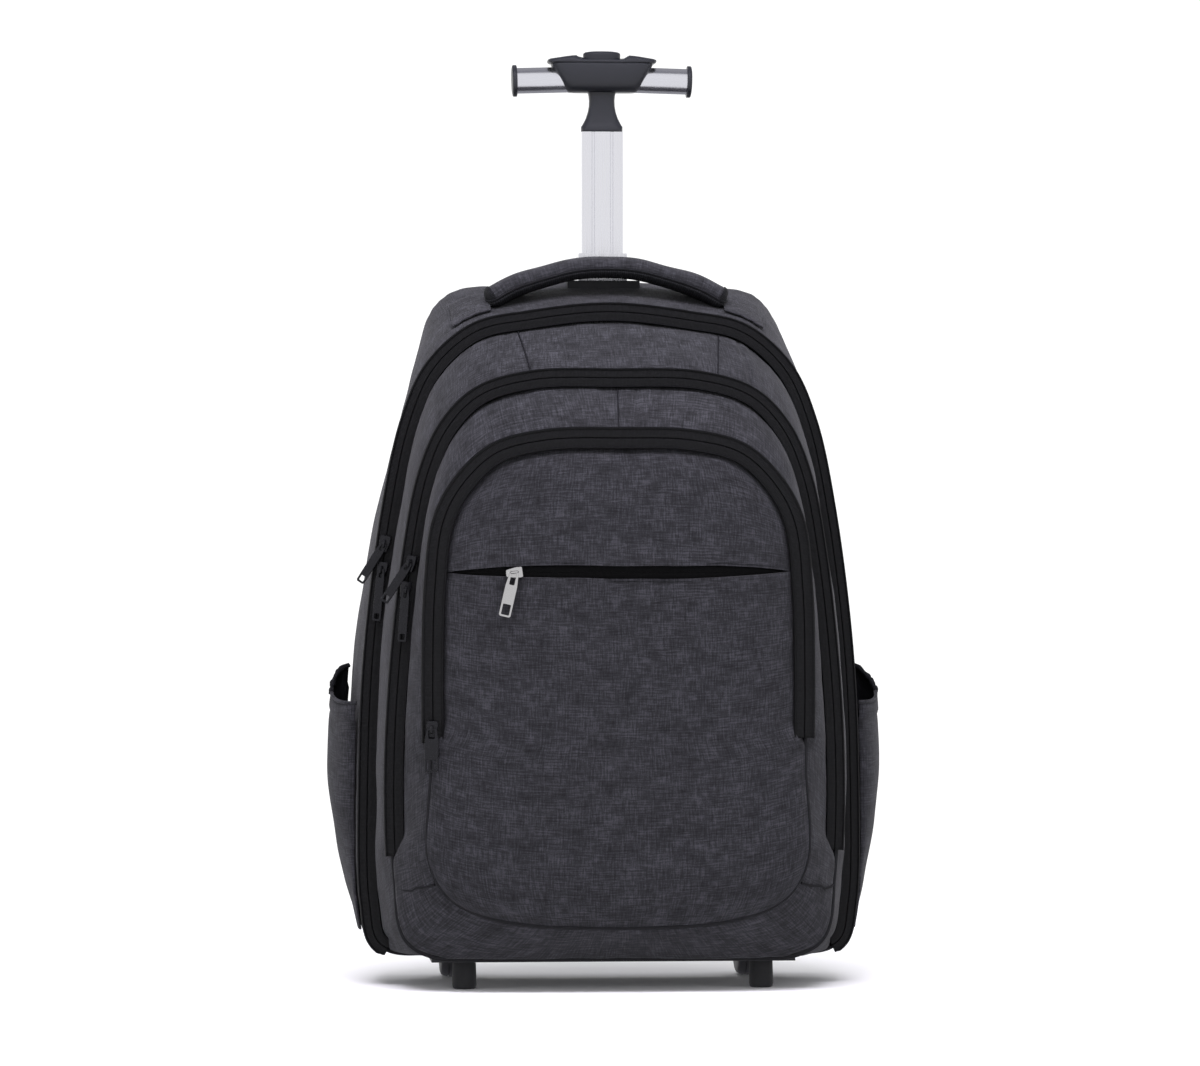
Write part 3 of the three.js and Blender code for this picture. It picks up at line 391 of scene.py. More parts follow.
MOULDED = moulded("polypropylene_grained", "#1c1d20", 0.5, 0.9, 0.12)
GRIP = moulded("abs_satin_moulded", "#1b1c20", 0.33, 0.7, 0.05)
FOOT_RUBBER = moulded("rubber_feet_moulded", "#121214", 0.72, 1.2, 0.1)
TYRE_PLASTIC = moulded("polyurethane_tyre_moulded", "#17171a", 0.6, 1.0, 0.1)
print("moulded:", MOULDED.name, GRIP.name, FOOT_RUBBER.name, TYRE_PLASTIC.name)

# %% [markdown]
# ## Metals
# The pole is extruded aluminium, brushed lengthways and clear anodised: bright, with long fine lines. The
# silver zip pull is nickel-plated zinc, the black ones carry a black lacquer, and the axles are zinc-plated
# steel.

# %% Metals


def metal(name, code, roughness, line_mm, metallic=1.0):
    """A metal whose polish lines have the given size along each axis."""
    material, tree, shader = new_material(name, Base_Color=linear(code), Metallic=metallic)
    lines = stretched_noise(tree, place_in(tree, False), [size * MM for size in line_mm], 3)
    vary_gloss(tree, shader, lines, roughness, 0.3)
    raise_surface(tree, shader, lines, 0.02, 0.3)
    return material


POLE_METAL = metal("anodised_aluminium_brushed", "#f4f4f6", 0.27, (0.6, 0.6, 60))
BAR_METAL = metal("anodised_aluminium_turned", "#ececf0", 0.25, (40, 0.6, 0.6))
NICKEL = metal("nickel_plated_zinc", "#c9c8c6", 0.22, (3, 3, 3))
BLACK_LACQUER = metal("black_lacquered_zinc", "#1a1a1d", 0.3, (2, 2, 2), 0.55)
STEEL = metal("zinc_plated_steel", "#a3a4a6", 0.32, (8, 0.5, 0.5))
print("materials:", len(bpy.data.materials))

# %% [markdown]
# ## The outlines of the bag
# Seen from the front, the bag is a set of rounded trapezoids, one for each depth: the rear edge and the
# three zips. Twelve points along half of each outline are enough, as shares of the bag's half width and
# height, because a closed spline rounds them off. The same points shaped the frame, so the cloth lands
# where the frame is.

# %% Outlines
BODY_HALF = 188
BODY_HEIGHT = 494
BASE, REAR = box_mm("main_compartment")[0][2], box_mm("main_compartment")[1][1]
GAP = 0.3
OUTLINES = {
    "rear": [(0, 1), (0.372, 0.996), (0.596, 0.984), (0.686, 0.949), (0.755, 0.844), (0.878, 0.672),
             (0.979, 0.449), (1, 0.257), (0.979, 0.079), (0.904, 0.016), (0.718, 0), (0, 0)],
    "main": [(0, 0.949), (0.309, 0.937), (0.521, 0.919), (0.686, 0.864), (0.777, 0.787), (0.851, 0.656),
             (0.92, 0.445), (0.941, 0.257), (0.934, 0.075), (0.894, 0.016), (0.718, 0), (0, 0)],
    "middle": [(0, 0.848), (0.319, 0.845), (0.521, 0.822), (0.644, 0.775), (0.723, 0.706), (0.782, 0.591),
               (0.835, 0.403), (0.851, 0.25), (0.838, 0.121), (0.798, 0.03), (0.649, 0.002), (0, 0)],
    "front": [(0, 0.759), (0.277, 0.756), (0.468, 0.737), (0.596, 0.692), (0.67, 0.638), (0.702, 0.54),
              (0.71, 0.409), (0.708, 0.287), (0.716, 0.146), (0.638, 0.094), (0.447, 0.062), (0, 0.051)],
    "back": [(0, 0.978), (0.372, 0.974), (0.574, 0.962), (0.644, 0.927), (0.707, 0.836), (0.814, 0.682),
             (0.904, 0.5), (0.926, 0.358), (0.91, 0.237), (0.851, 0.146), (0.681, 0.123), (0, 0.123)],
}
DEPTH = {"rear": REAR, "main": REAR - 90, "middle": REAR - 145, "front": REAR - 180}
ZIP_REACH = {"main": 18, "middle": 15, "front": 13}
FRAME_SAMPLES = 44
FINE = 10


def spline_point(points, t):
    """A point of the closed centripetal spline through points."""
    count = len(points)
    k = int(math.floor(t * count))
    p = [points[(k + j) % count] for j in (-1, 0, 1, 2)]
    step = [max(np.sum((p[j + 1] - p[j]) ** 2) ** 0.25, 1e-4) for j in range(3)]
    slope = [(p[j + 1] - p[j]) / step[j] for j in range(3)]
    start = (slope[0] - (p[2] - p[0]) / (step[0] + step[1]) + slope[1]) * step[1]
    end = (slope[1] - (p[3] - p[1]) / (step[1] + step[2]) + slope[2]) * step[1]
    w = t * count - k
    cubic = 2 * p[1] - 2 * p[2] + start + end
    return p[1] + start * w + (3 * p[2] - 3 * p[1] - 2 * start - end) * w * w + cubic * w ** 3


def outline(name, samples):
    """Points (x, z) of an outline at sample places, counted from the top centre as in the frame."""
    right = [np.array((out * BODY_HALF, BASE + up * BODY_HEIGHT)) for out, up in OUTLINES[name]]
    left = [point * (-1, 1) for point in right[-2:0:-1]]
    return np.array([spline_point(right + left, (k + 0.5) / FRAME_SAMPLES % 1) for k in samples])


# The columns of every cloth ring run from the bottom centre, up the left, over the top and down the right.
COLUMNS = np.arange(-FRAME_SAMPLES / 2, FRAME_SAMPLES / 2, 1 / FINE) - 0.5
OUTLINE = {name: outline(name, COLUMNS) for name in OUTLINES}
FROM_TOP = np.abs(COLUMNS + 0.5) - 0.5


def pushed(points, out):
    """Points moved outwards in the front plane, never below the floor of the bag."""
    along = np.roll(points, -1, axis=0) - np.roll(points, 1, axis=0)
    along /= np.linalg.norm(along, axis=1)[:, None]
    outwards = np.stack([-along[:, 1], along[:, 0]], axis=1)
    moved = points + outwards * np.broadcast_to(out, len(points))[:, None]
    return np.stack([moved[:, 0], np.maximum(moved[:, 1], BASE)], axis=1)


def ring(points, depth, out):
    """An outline at one depth, pushed outwards."""
    moved = pushed(points, out)
    return np.stack([moved[:, 0], np.broadcast_to(depth, len(points)), moved[:, 1]], axis=1)


def smooth(value, low, high):
    """A soft step from 0 at low to 1 at high."""
    share = np.clip((value - low) / (high - low), 0, 1)
    return share * share * (3 - 2 * share)


print("outline points:", {name: len(points) for name, points in OUTLINE.items()})

# %% [markdown]
# ## The three gussets
# A gusset is the long strip of padded cloth between two zips. It is sewn flat, but the seams pull it in, so
# it stands a little proud between them and puckers beside them. Each one here is a skin laid between two
# outlines and then given the thickness of the cloth: the swell, the puckers and the pressed seams are added
# row by row, where a displaced texture would not know how far the seam is.

# %% Gusset shape
HALF_ZIP = 6
UNDER_ZIP = -6.8
SEWN = 0.7
HEM = 2
CORNER_RINGS, FACE_RINGS = 4, 26
FACE_PART = slice(CORNER_RINGS, CORNER_RINGS + FACE_RINGS)
PUCKER, SEAM_DEPTH = 0.22, 0.9
CLOTH_THICK = 2 * MM
PANEL_THICK = 1.6 * MM


def edge_push(name, under, beyond):
    """How far a ring is pushed: under where the zip runs, beyond where the two cloths are sewn together."""
    return under + (beyond - under) * smooth(FROM_TOP, ZIP_REACH[name] - 0.5, ZIP_REACH[name] + 0.15)


def pressed_seam(columns_at, depth_mm):
    """A narrow valley at each given column, where a seam runs across the gusset."""
    valley = np.zeros(len(COLUMNS))
    for place in columns_at:
        away = np.abs(COLUMNS - place)
        valley -= depth_mm * np.exp(-((away / 0.055) ** 2))
        valley += 0.5 * depth_mm * np.exp(-(((away - 0.28) / 0.16) ** 2))
    return valley


def gusset(rear, rim, rear_y, rear_push, corner, swell, seams=()):
    """A skin between two outlines, filled and rounded at the rear and hemmed in front, and its rings."""
    back, front, rim_y = OUTLINE[rear], OUTLINE[rim], DEPTH[rim]
    rim_push = edge_push(rim, HALF_ZIP, 1)
    rings = []
    for step in np.linspace(0, 1, CORNER_RINGS + 1)[:-1]:
        turn = step * math.pi / 2
        rings.append(ring(back, rear_y - corner * (1 - math.cos(turn)),
                          rear_push - corner * (1 - math.sin(turn))))
    puckers = np.sin(COLUMNS * 2 * math.pi * 1.45) + 0.6 * np.sin(COLUMNS * 2 * math.pi * 0.83 + 1)
    for t in np.linspace(0, 1, FACE_RINGS):
        mixed = back * (1 - t) + front * t
        near_seam = math.exp(-(1 - t) / 0.12) + 0.6 * math.exp(-t / 0.12)
        push = rear_push * (1 - t) + rim_push * t + swell * math.sin(math.pi * t) ** 0.6
        pressed = pressed_seam(seams, SEAM_DEPTH) * math.sin(math.pi * t) ** 0.2
        push = push + PUCKER * puckers * near_seam + pressed
        rings.append(ring(mixed, rear_y - corner + (rim_y + HEM - rear_y + corner) * t, push))
    for turn in (0.4, 0.9, math.pi / 2):
        rings.append(ring(front, rim_y + HEM * (1 - math.sin(turn)), rim_push - HEM * (1 - math.cos(turn))))
    rings.append(ring(front, rim_y + HEM + 3, rim_push - HEM - 0.6))
    return skin(f"{rim}_gusset", rings, ends=1), np.array(rings)

# %% [markdown]
# The main gusset starts at the rear edge of the bag. The other two start behind the zip of the one before,
# so each hides the raw edge of its neighbour. The pressed seams sit at chosen columns.

# %% Three gussets
main, main_rows = gusset("rear", "main", REAR, np.zeros(len(COLUMNS)), 7, 1.8)
middle, middle_rows = gusset("main", "middle", DEPTH["main"] - GAP, edge_push("main", UNDER_ZIP, SEWN),
                             2, 2.6, seams=[-3.36, 3.42])
front, front_rows = gusset("middle", "front", DEPTH["middle"] - GAP, edge_push("middle", UNDER_ZIP, SEWN),
                           2, 2.2, seams=[0.0])

# %% [markdown]
# The wheel housings are let into the lower rear corners. A cut along straight planes leaves clean edges,
# and it can't lose a piece of the cloth as a general cut between two bodies may.

# %% Wheel wells and cloth thickness
def wheel_openings(piece):
    """Cuts the wells for the wheel housings: slices along the sides of each box, and the inside goes."""
    work = bmesh.new()
    work.from_mesh(piece.data)
    for word, _ in SIDES:
        low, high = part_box(f"wheel_housing_{word}")
        walls = [(low.x - GAP * MM, (1, 0, 0)), (high.x + GAP * MM, (1, 0, 0)),
                 (high.z + GAP * MM, (0, 0, 1)), (low.y - GAP * MM, (0, 1, 0))]
        for place, normal in walls:
            bmesh.ops.bisect_plane(work, geom=work.verts[:] + work.edges[:] + work.faces[:], dist=1e-6,
                                   plane_co=Vector(normal) * place, plane_no=normal)
        inside = []
        for face in work.faces:
            x, y, z = face.calc_center_median()
            if walls[0][0] < x < walls[1][0] and z < walls[2][0] and y > walls[3][0]:
                inside.append(face)
        bmesh.ops.delete(work, geom=inside, context="FACES")
    work.to_mesh(piece.data)
    work.free()


for number, piece in enumerate((main, middle, front)):
    crumple(piece, 62, 1.5, 3 + number)
    crumple(piece, 21, 0.45, 9 + number)
wheel_openings(main)
for piece, word in ((main, "main"), (middle, "middle"), (front, "front")):
    applied(piece, "SOLIDIFY", thickness=CLOTH_THICK, offset=-1)
    dress(piece, "bag", "melange_cloth", CLOTH, f"{word}_compartment")
    print(piece.name, len(piece.data.polygons), "faces")

# %% [markdown]
# ## The crowned front panel
# The panel is full of padding and stands forward of its zip. A pocket slit crosses it, so it is really two
# pieces of cloth with turned lips. Each is a patch stretched between four border lines, which keeps the
# weave level along the slit, and the crown is a height over the distance to the edge.

# %% Crown of the panel
PANEL_CROWN = 16
SLIT_Z = 302
SLIT_HALF = 124
SLIT_OPENING = 9
PANEL_COLUMNS = 92
CROWN_SHARES = [0, 0.5, 0.82, 0.94, 1]
CROWN_HEIGHTS = [1, 1, 0.76, 0.42, 0.12]
panel_edge = pushed(OUTLINE["front"], edge_push("front", UNDER_ZIP, SEWN))
panel_middle = np.array((0, panel_edge[:, 1].mean()))
edge_turn = np.unwrap(np.arctan2(*(panel_edge - panel_middle).T[::-1]))
edge_away = np.linalg.norm(panel_edge - panel_middle, axis=1)
order = np.argsort(np.mod(edge_turn, 2 * math.pi))
TURNS, AWAYS = np.mod(edge_turn, 2 * math.pi)[order], edge_away[order]


def panel_depth(spots):
    """Depth of the panel's face at places (x, z)."""
    off = spots - panel_middle
    turn = np.mod(np.arctan2(off[..., 1], off[..., 0]), 2 * math.pi)
    share = np.linalg.norm(off, axis=-1) / np.interp(turn, TURNS, AWAYS, period=2 * math.pi)
    height = sum(np.interp(np.clip(share + shift, 0, 1), CROWN_SHARES, CROWN_HEIGHTS)
                 for shift in (-0.05, -0.025, 0, 0.025)) / 4
    height = np.where(share > 0.97, height * (1 - (share - 0.97) / 0.03 * 0.6), height)
    return DEPTH["front"] - GAP - PANEL_CROWN * np.clip(height, 0, 1)


def slit_lip(x, side):
    """Height of the upper (1) or lower (-1) lip of the slit at x."""
    share = np.clip(1 - (x / SLIT_HALF) ** 4, 0, 1)
    return SLIT_Z + side * SLIT_OPENING / 2 * share

# %% [markdown]
# Each piece of the panel is ruled between the slit and the panel's edge. Its weave then runs level along
# the slit and turns with the edge further out, as cut cloth does when it is eased round a corner.

# %% Panel pieces
def evenly(path, count):
    """A path of (x, z) with the given count of evenly spaced points."""
    gone = walked(path)
    return np.stack([np.interp(np.linspace(0, gone[-1], count), gone, path[:, k]) for k in (0, 1)], axis=1)


def border(start, end, count):
    """The panel's edge between two sample columns, evenly spaced."""
    return evenly(panel_edge[start : end + 1] if start < end else panel_edge[end : start + 1][::-1], count)


def patch(slit, far, left, right):
    """Rows between a slit line and a far line with two side lines, each an array of (x, z)."""
    across, up = np.linspace(0, 1, len(slit))[None, :, None], np.linspace(0, 1, len(left))[:, None, None]
    ruled = slit[None] * (1 - up) + far[None] * up + left[:, None] * (1 - across) + right[:, None] * across
    near_corners = slit[0] * (1 - across) + slit[-1] * across
    far_corners = far[0] * (1 - across) + far[-1] * across
    return ruled - (near_corners * (1 - up) + far_corners * up)


def panel_piece(name, side, rows, corner_reach):
    """The cloth above (1) or below (-1) the slit, with turned lips and a hem under the zip."""
    left_half = COLUMNS < -0.5
    at_slit_left = np.argmin(np.where(left_half, np.abs(panel_edge[:, 1] - SLIT_Z), 9e9))
    at_slit_right = np.argmin(np.where(~left_half, np.abs(panel_edge[:, 1] - SLIT_Z), 9e9))
    corner_left = np.argmin(np.abs(COLUMNS + 1 + corner_reach))
    corner_right = np.argmin(np.abs(COLUMNS - corner_reach))
    if side > 0:
        far = border(corner_left, corner_right, PANEL_COLUMNS)
    else:
        path = np.vstack([panel_edge[: corner_left + 1][::-1], panel_edge[corner_right:][::-1]])
        far = evenly(path, PANEL_COLUMNS)
    left, right = border(at_slit_left, corner_left, rows), border(at_slit_right, corner_right, rows)
    x = np.linspace(left[0, 0], right[0, 0], PANEL_COLUMNS)
    slit = np.stack([x, slit_lip(x, side)], axis=1)
    spots = patch(slit, far, left, right)
    face = np.concatenate([spots[..., :1], panel_depth(spots)[..., None], spots[..., 1:]], axis=-1)
    lift = np.exp(-np.abs(spots[..., 1] - slit_lip(spots[..., 0], side)) / 5)
    lift = lift * np.clip(1.15 - np.abs(spots[..., 0]) / SLIT_HALF, 0, 1)
    face[..., 1] -= (1.4 if side > 0 else 0.5) * lift
    lip = [face[0] + (0, 5.5, side * 1.5), face[0] + (0, 2.2, side * -0.1), face[0] + (0, 0.7, 0)]
    lip[2][:, 2] += side * 0.15
    hem = [face[-1] + (0, 1.5, 0), face[-1] + (0, 4, 0)]
    grid = np.concatenate([lip, face, hem])
    borders = [grid[:, :1] + (0, 3, 0), grid, grid[:, -1:] + (0, 3, 0)]
    return skin(name, np.concatenate(borders, axis=1), around=False)


upper_panel = panel_piece("front_panel_upper", 1, 42, 5.2)
lower_panel = panel_piece("front_panel_lower", -1, 92, 17.6)
for number, piece in enumerate((upper_panel, lower_panel)):
    crumple(piece, 75, 1.3, 21 + number)
    crumple(piece, 24, 0.4, 25 + number)
    applied(piece, "SOLIDIFY", thickness=PANEL_THICK, offset=-1)
    dress(piece, "bag", "melange_cloth", CLOTH, "front_panel")
print("front panel box in mm:", [round(value / MM) for value in upper_panel.dimensions])

# %% [markdown]
# ## Zips
# These are concealed coil zips: two tapes meet over the coil, so what shows is a dark band with one fine
# line down the middle and a corded edge on each side. A zip is a long band with one cross-section, so the
# section is drawn once, as a table of distance across and height, and laid along each outline.

# %% Zips
ZIP_LEAN = 3.2
ZIP_THICK = 2.4
TAPE_THICK = 0.8 * MM
HALF_SECTION = [(7.2, -2.2), (7.0, 0.2), (6.4, 0.9), (5.7, 0.6), (5.3, -0.1), (3.6, 0), (2.2, 0.45),
                (0.7, 0.5), (0.35, 0.3)]
ZIP_SECTION = HALF_SECTION + [(0, -0.9)] + [(-across, height) for across, height in HALF_SECTION[::-1]]


def zip_band(name, wide):
    """A zip along the top and sides of one outline."""
    rim_y = DEPTH[name] - GAP
    runs = np.abs(COLUMNS + 0.5) <= ZIP_REACH[name] + 0.5
    rows = []
    for across, height in ZIP_SECTION:
        lean = ZIP_LEAN * (HALF_ZIP - across) / (2 * HALF_ZIP)
        rows.append(ring(OUTLINE[name], rim_y - ZIP_THICK - lean - height, across * wide)[runs])
    return skin(f"{name}_zip_band", np.array(rows)[::-1], around=False)


for name, wide in (("main", 1.0), ("middle", 1.0), ("front", 1.12)):
    band = zip_band(name, wide)
    applied(band, "SOLIDIFY", thickness=TAPE_THICK, offset=-1)
    dress(band, "bag", "zip_tape", ZIP_TAPE, f"zip_{name}")
    print(band.name, [round(value / MM) for value in band.dimensions])

# %% [markdown]
# The slit has its own zip, set back behind the lips: a shallow strip, pointed at both ends, with its coil
# line. Its tape is painted darker than the other zips, as painted shade for the shadow of the lips.

# %% Pocket zip
rows = []
for share in (-1.25, -0.8, -0.35, -0.08, 0, 0.08, 0.35, 0.8, 1.25):
    x = np.linspace(-SLIT_HALF + 4, SLIT_HALF - 4, 80)
    z = SLIT_Z + (slit_lip(x, 1) - SLIT_Z) * share
    y = panel_depth(np.stack([x, z], axis=1)) + 2.4 + (0.8 if share == 0 else 0) + 0.8 * abs(share)
    rows.append(np.stack([x, y, z], axis=1))
slit_zip = skin("slit_zip_tape", rows, around=False)
applied(slit_zip, "SOLIDIFY", thickness=TAPE_THICK, offset=-1)
dress(slit_zip, "bag", "zip_tape", SHADED_SLIT_TAPE, "zip_pocket")
print("slit zip:", [round(value / MM) for value in slit_zip.dimensions])

# %% [markdown]
# ## Piping and seams
# Where two cloths meet without a zip, the seam shows as a dark line with a fine cord in it. A thin tube
# that is laid along the outline catches the light the way a real piping does, and it also hides the raw
# meeting line. One sweep helper makes every tube and padded band: it carries a cross-section along a path
# without twisting it.

# %% Sweep helpers


def frames_along(path, lift):
    """Side and normal directions along a path. lift is the direction that the side starts from."""
    path = np.asarray(path, float)
    ahead = np.gradient(path, axis=0)
    ahead /= np.linalg.norm(ahead, axis=1)[:, None]
    lift = np.broadcast_to(np.asarray(lift, float), path.shape)
    side = lift - (lift * ahead).sum(axis=1)[:, None] * ahead
    side /= np.linalg.norm(side, axis=1)[:, None]
    return side, np.cross(side, ahead)


def sweep(name, path, section, lift, around=True):
    """A skin along a path. section is a list of (side, normal) places in millimetres, or one per point."""
    side, normal = frames_along(path, lift)
    section = np.asarray(section, float)
    if section.ndim == 2:
        section = np.broadcast_to(section, (len(path), *section.shape))
    rows = np.asarray(path)[:, None] + section[..., :1] * side[:, None] + section[..., 1:] * normal[:, None]
    return skin(name, rows, around=around, ends=2 if around else 0)


def squared(value, power):
    """A sine or cosine pushed outwards, so that a circle turns into a rounded block."""
    return np.sign(value) * np.abs(value) ** power


def oval(wide, thick, sides=10, power=1.0):
    """Points round a rounded block: power 1 is an ellipse and less is squarer."""
    turns = np.arange(sides) * 2 * math.pi / sides
    across, up = squared(np.cos(turns), power), squared(np.sin(turns), power)
    return np.stack([across * wide / 2, up * thick / 2], axis=1)


def bound(name, path, section, lift, slot="webbing"):
    """A length of woven binding along a path."""
    return dress(sweep(name, path, section, lift), "bag", slot, BINDING)


def resampled(points, count):
    """A smooth path through points, evenly spaced."""
    points = np.asarray(points, float)
    ghost = np.vstack([2 * points[0] - points[1], points, 2 * points[-1] - points[-2]])
    fine = []
    for k in range(len(points) - 1):
        a, b, c, d = ghost[k : k + 4]
        for t in np.linspace(0, 1, 12, endpoint=False):
            fine.append(0.5 * (2 * b + (c - a) * t + (2 * a - 5 * b + 4 * c - d) * t * t
                               + (3 * b - a - 3 * c + d) * t ** 3))
    fine = np.array(fine + [points[-1]])
    gone = walked(fine[:, :3])
    places = np.linspace(0, gone[-1], count)
    return np.stack([np.interp(places, gone, fine[:, k]) for k in range(fine.shape[1])], axis=1)


def lower_run(name, push, forward):
    """The lower part of an outline, from the end of the zip on the right, under the bag, to the left."""
    points = ring(OUTLINE[name], DEPTH[name] - forward, push)
    beyond = np.abs(COLUMNS + 0.5) >= ZIP_REACH[name] + 0.2
    split = len(COLUMNS) // 2
    right = points[split:][beyond[split:]]
    left = points[:split][beyond[:split]]
    return np.vstack([right, left])

# %% [markdown]
# Below the ends of each zip the same outline goes on as a plain seam, and a few short seams join the
# lengths of the gussets. All of them are thin cords of the binding.

# %% Seams
SEAM_CORDS = [("main", 1.6, 0.4, 3.0), ("middle", 1.4, 0.6, 3.8), ("front", 1.0, 0.8, 2.8)]
for name, push, forward, wide in SEAM_CORDS:
    path = resampled(lower_run(name, push, forward)[::5], 220)
    bound(f"{name}_seam_piping", path, oval(wide, wide, 8), (0, 1, 0), "zip_tape")

# The curved bottom seam runs on over the front gusset to the ends of the middle zip. Its place is counted in
# samples from the top, at the rear and at the front of that gusset.
SEAM_REAR, SEAM_FRONT, SEAM_POINTS = 16.3, 17.0, 9
for word, side in SIDES:
    reach = np.linspace(SEAM_REAR, SEAM_FRONT, SEAM_POINTS)
    rows_taken = np.linspace(CORNER_RINGS + 1, CORNER_RINGS + FACE_RINGS - 2, SEAM_POINTS).astype(int)
    spots = [front_rows[row, np.argmin(np.abs(COLUMNS + 0.5 - side * step))]
             for row, step in zip(rows_taken, reach)]
    path = resampled(np.array(spots) + (side * 0.4, -0.2, -0.4), 40)
    bound(f"gusset_seam_{word}", path, oval(1.8, 1.4, 8), (0, 0, 1), "zip_tape")

# Short seams join the lengths of the gussets over the top. Each has its place in x at the rear and in front.
CROSS_SEAMS = [("left", middle_rows, -69, -60), ("right", middle_rows, 81, 74),
               ("middle", front_rows, 1.5, 0)]
TOP_ABOVE = 300
for word, rows, rear_x, front_x in CROSS_SEAMS:
    spots = []
    for row, x in zip(rows, np.linspace(rear_x, front_x, len(rows))):
        upper = row[row[:, 2] > TOP_ABOVE]
        spots.append(upper[np.argmin(np.abs(upper[:, 0] - x))] + (0, -0.1, 0.1))
    spots = np.array(spots)
    spots[:, 0] = np.linspace(rear_x, front_x, len(spots))
    bound(f"cross_seam_{word}", resampled(spots, 40), oval(1.5, 1.0, 8), (0, 0, 1), "zip_tape")
print("seams:", len(SEAM_CORDS) + len(SIDES) + len(CROSS_SEAMS))

# %% [markdown]
# ## Grab handle
# The grab handle is a padded band that arches over the top: melange cloth above, black webbing below, and a
# piping where they meet. Its ends are stitched flat to the top cloth under square patches. A sweep with a
# section that thins towards its ends has the same shape as the sewn one.

# %% Grab handle
low, high = box_mm("grab_handle")
HANDLE_Y = (low[1] + high[1]) / 2
HANDLE_WIDTH, HANDLE_THICK, HANDLE_HALF, HANDLE_RISE = 36, 15, 115, 35
HANDLE_FOOT = high[2] - 42.5
HANDLE_ROWS = [(0, 1, 1, 1), (0.2, 0.955, 1, 1), (0.4, 0.79, 1, 1), (0.6, 0.575, 1, 1.08),
               (0.77, 0.27, 0.98, 1.16)]
half = [(out * HANDLE_HALF, HANDLE_Y, HANDLE_FOOT + up * HANDLE_RISE, wide, thick)
        for out, up, wide, thick in HANDLE_ROWS]
line = resampled([(-x, *rest) for x, *rest in half[:0:-1]] + half, 120)
END_CLOSING = [0.05, 0.7, 0.88, 0.97]
line[:4, 3:] *= np.array(END_CLOSING)[:, None]
line[-4:, 3:] *= np.array(END_CLOSING[::-1])[:, None]
turn_start, turn_end = math.radians(-16), math.radians(196)
cover, lining = [], []
for wide, thick in line[:, 3:]:
    turns = np.linspace(turn_start, turn_end, 22)
    cover.append(np.stack([squared(np.cos(turns), 0.75) * HANDLE_WIDTH / 2 * wide,
                           squared(np.sin(turns), 0.85) * HANDLE_THICK / 2 * thick], axis=1))
    turns = np.linspace(turn_end, 2 * math.pi + turn_start, 14)
    lining.append(np.stack([squared(np.cos(turns), 0.75) * (HANDLE_WIDTH / 2 - 0.7) * wide,
                            squared(np.sin(turns), 0.6) * (HANDLE_THICK / 2 - 0.3) * thick], axis=1))
path = line[:, :3]
grab = sweep("grab_handle_cover", path, cover, (0, -1, 0), around=False)
under = sweep("grab_handle_lining", path, lining, (0, -1, 0), around=False)
crumple(grab, 26, 0.9, 41)
for piece in (grab, under):
    applied(piece, "SOLIDIFY", thickness=1.2 * MM, offset=-1)
dress(grab, "bag", "melange_cloth", CLOTH, "grab_handle")
dress(under, "bag", "webbing", WEBBING, "grab_handle")

# A black tape is wrapped round each end of the padding.
whole = [np.vstack([upper[::3], lower[1:-1:2]]) * 1.05 for upper, lower in zip(cover, lining)]
for word, span in (("left", slice(0, 5)), ("right", slice(-5, None))):
    bound(f"grab_handle_wrap_{word}", path[span], whole[span], (0, -1, 0))
side_way, normal_way = frames_along(path, (0, -1, 0))
for word, end in (("front", 0), ("rear", -1)):
    edge = np.array([spot + s * cut[end][0] + n * cut[end][1]
                     for spot, s, n, cut in zip(path, side_way, normal_way, cover)])
    bound(f"grab_handle_piping_{word}", edge, oval(2.0, 2.0, 8), (0, 0, 1))

# %% [markdown]
# The ends of the handle are covered by square patches of the cloth. Each patch follows the top of the bag,
# so its height is looked up from the gusset point by point.

# %% Handle patches
TOP_CLOTH_ABOVE = 440


def top_height(x, y):
    """Height of the top cloth of the main compartment at one place."""
    shell = main_rows[FACE_PART].reshape(-1, 3)
    upper = shell[shell[:, 2] > TOP_CLOTH_ABOVE]
    near = np.argsort(np.hypot(upper[:, 0] - x, upper[:, 1] - y))[:4]
    return upper[near, 2].mean()


TAB_INNER, TAB_OUTER, TAB_HALF, TAB_LIFT = 86, 114, 20, 1.1
tab_y = np.linspace(HANDLE_Y - TAB_HALF, HANDLE_Y + TAB_HALF, 12)
for word, side in SIDES:
    rows = []
    for x in np.linspace(TAB_INNER, TAB_OUTER, 12):
        rows.append([(side * x, y, top_height(side * x, y) + TAB_LIFT) for y in tab_y])
    tab = skin(f"grab_handle_tab_{word}", rows, around=False)
    applied(tab, "SOLIDIFY", thickness=PANEL_THICK, offset=1)
    applied(tab, "BEVEL", width=0.5 * MM, segments=2)
    dress(tab, "bag", "melange_cloth", PLAIN_CLOTH)
print("handle:", [round(value / MM) for value in grab.dimensions])

# %% [markdown]
# ## Back panel and shoulder straps
# The back panel is foam under spacer mesh, with channels sewn through it that let air past. The straps are
# foam bands, cloth outside and spacer mesh inside. Foam looks stuffed because its cover is pulled tight
# over it, so the straps are blown up a little with a cloth simulation, and bound along their edges
# afterwards.

# %% Back panel
back_low, back_high = box_mm("back_panel")
PAD_THICK = back_high[1] - back_low[1]
back_edge = OUTLINE["back"]
back_middle = np.array((0, back_edge[:, 1].mean()))
CHANNEL_X, CHANNEL_DEPTH = 46, 6.5
PAD_EDGE = [(1, 0), (1, 0.4), (0.985, 0.75), (0.955, 0.95)]
CHANNELS_Z = [182, 262, 352, 430]


def channel_depth(x, z):
    """How far the sewn channels pull the face in."""
    pull = np.exp(-(((np.abs(x) - CHANNEL_X) / 4.5) ** 2))
    inner = smooth(np.abs(x), 40, 48)
    pull = pull + inner * sum(np.exp(-(((z - height + 0.1 * np.abs(x)) / 4) ** 2)) for height in CHANNELS_Z)
    return np.clip(pull, 0, 1.1)


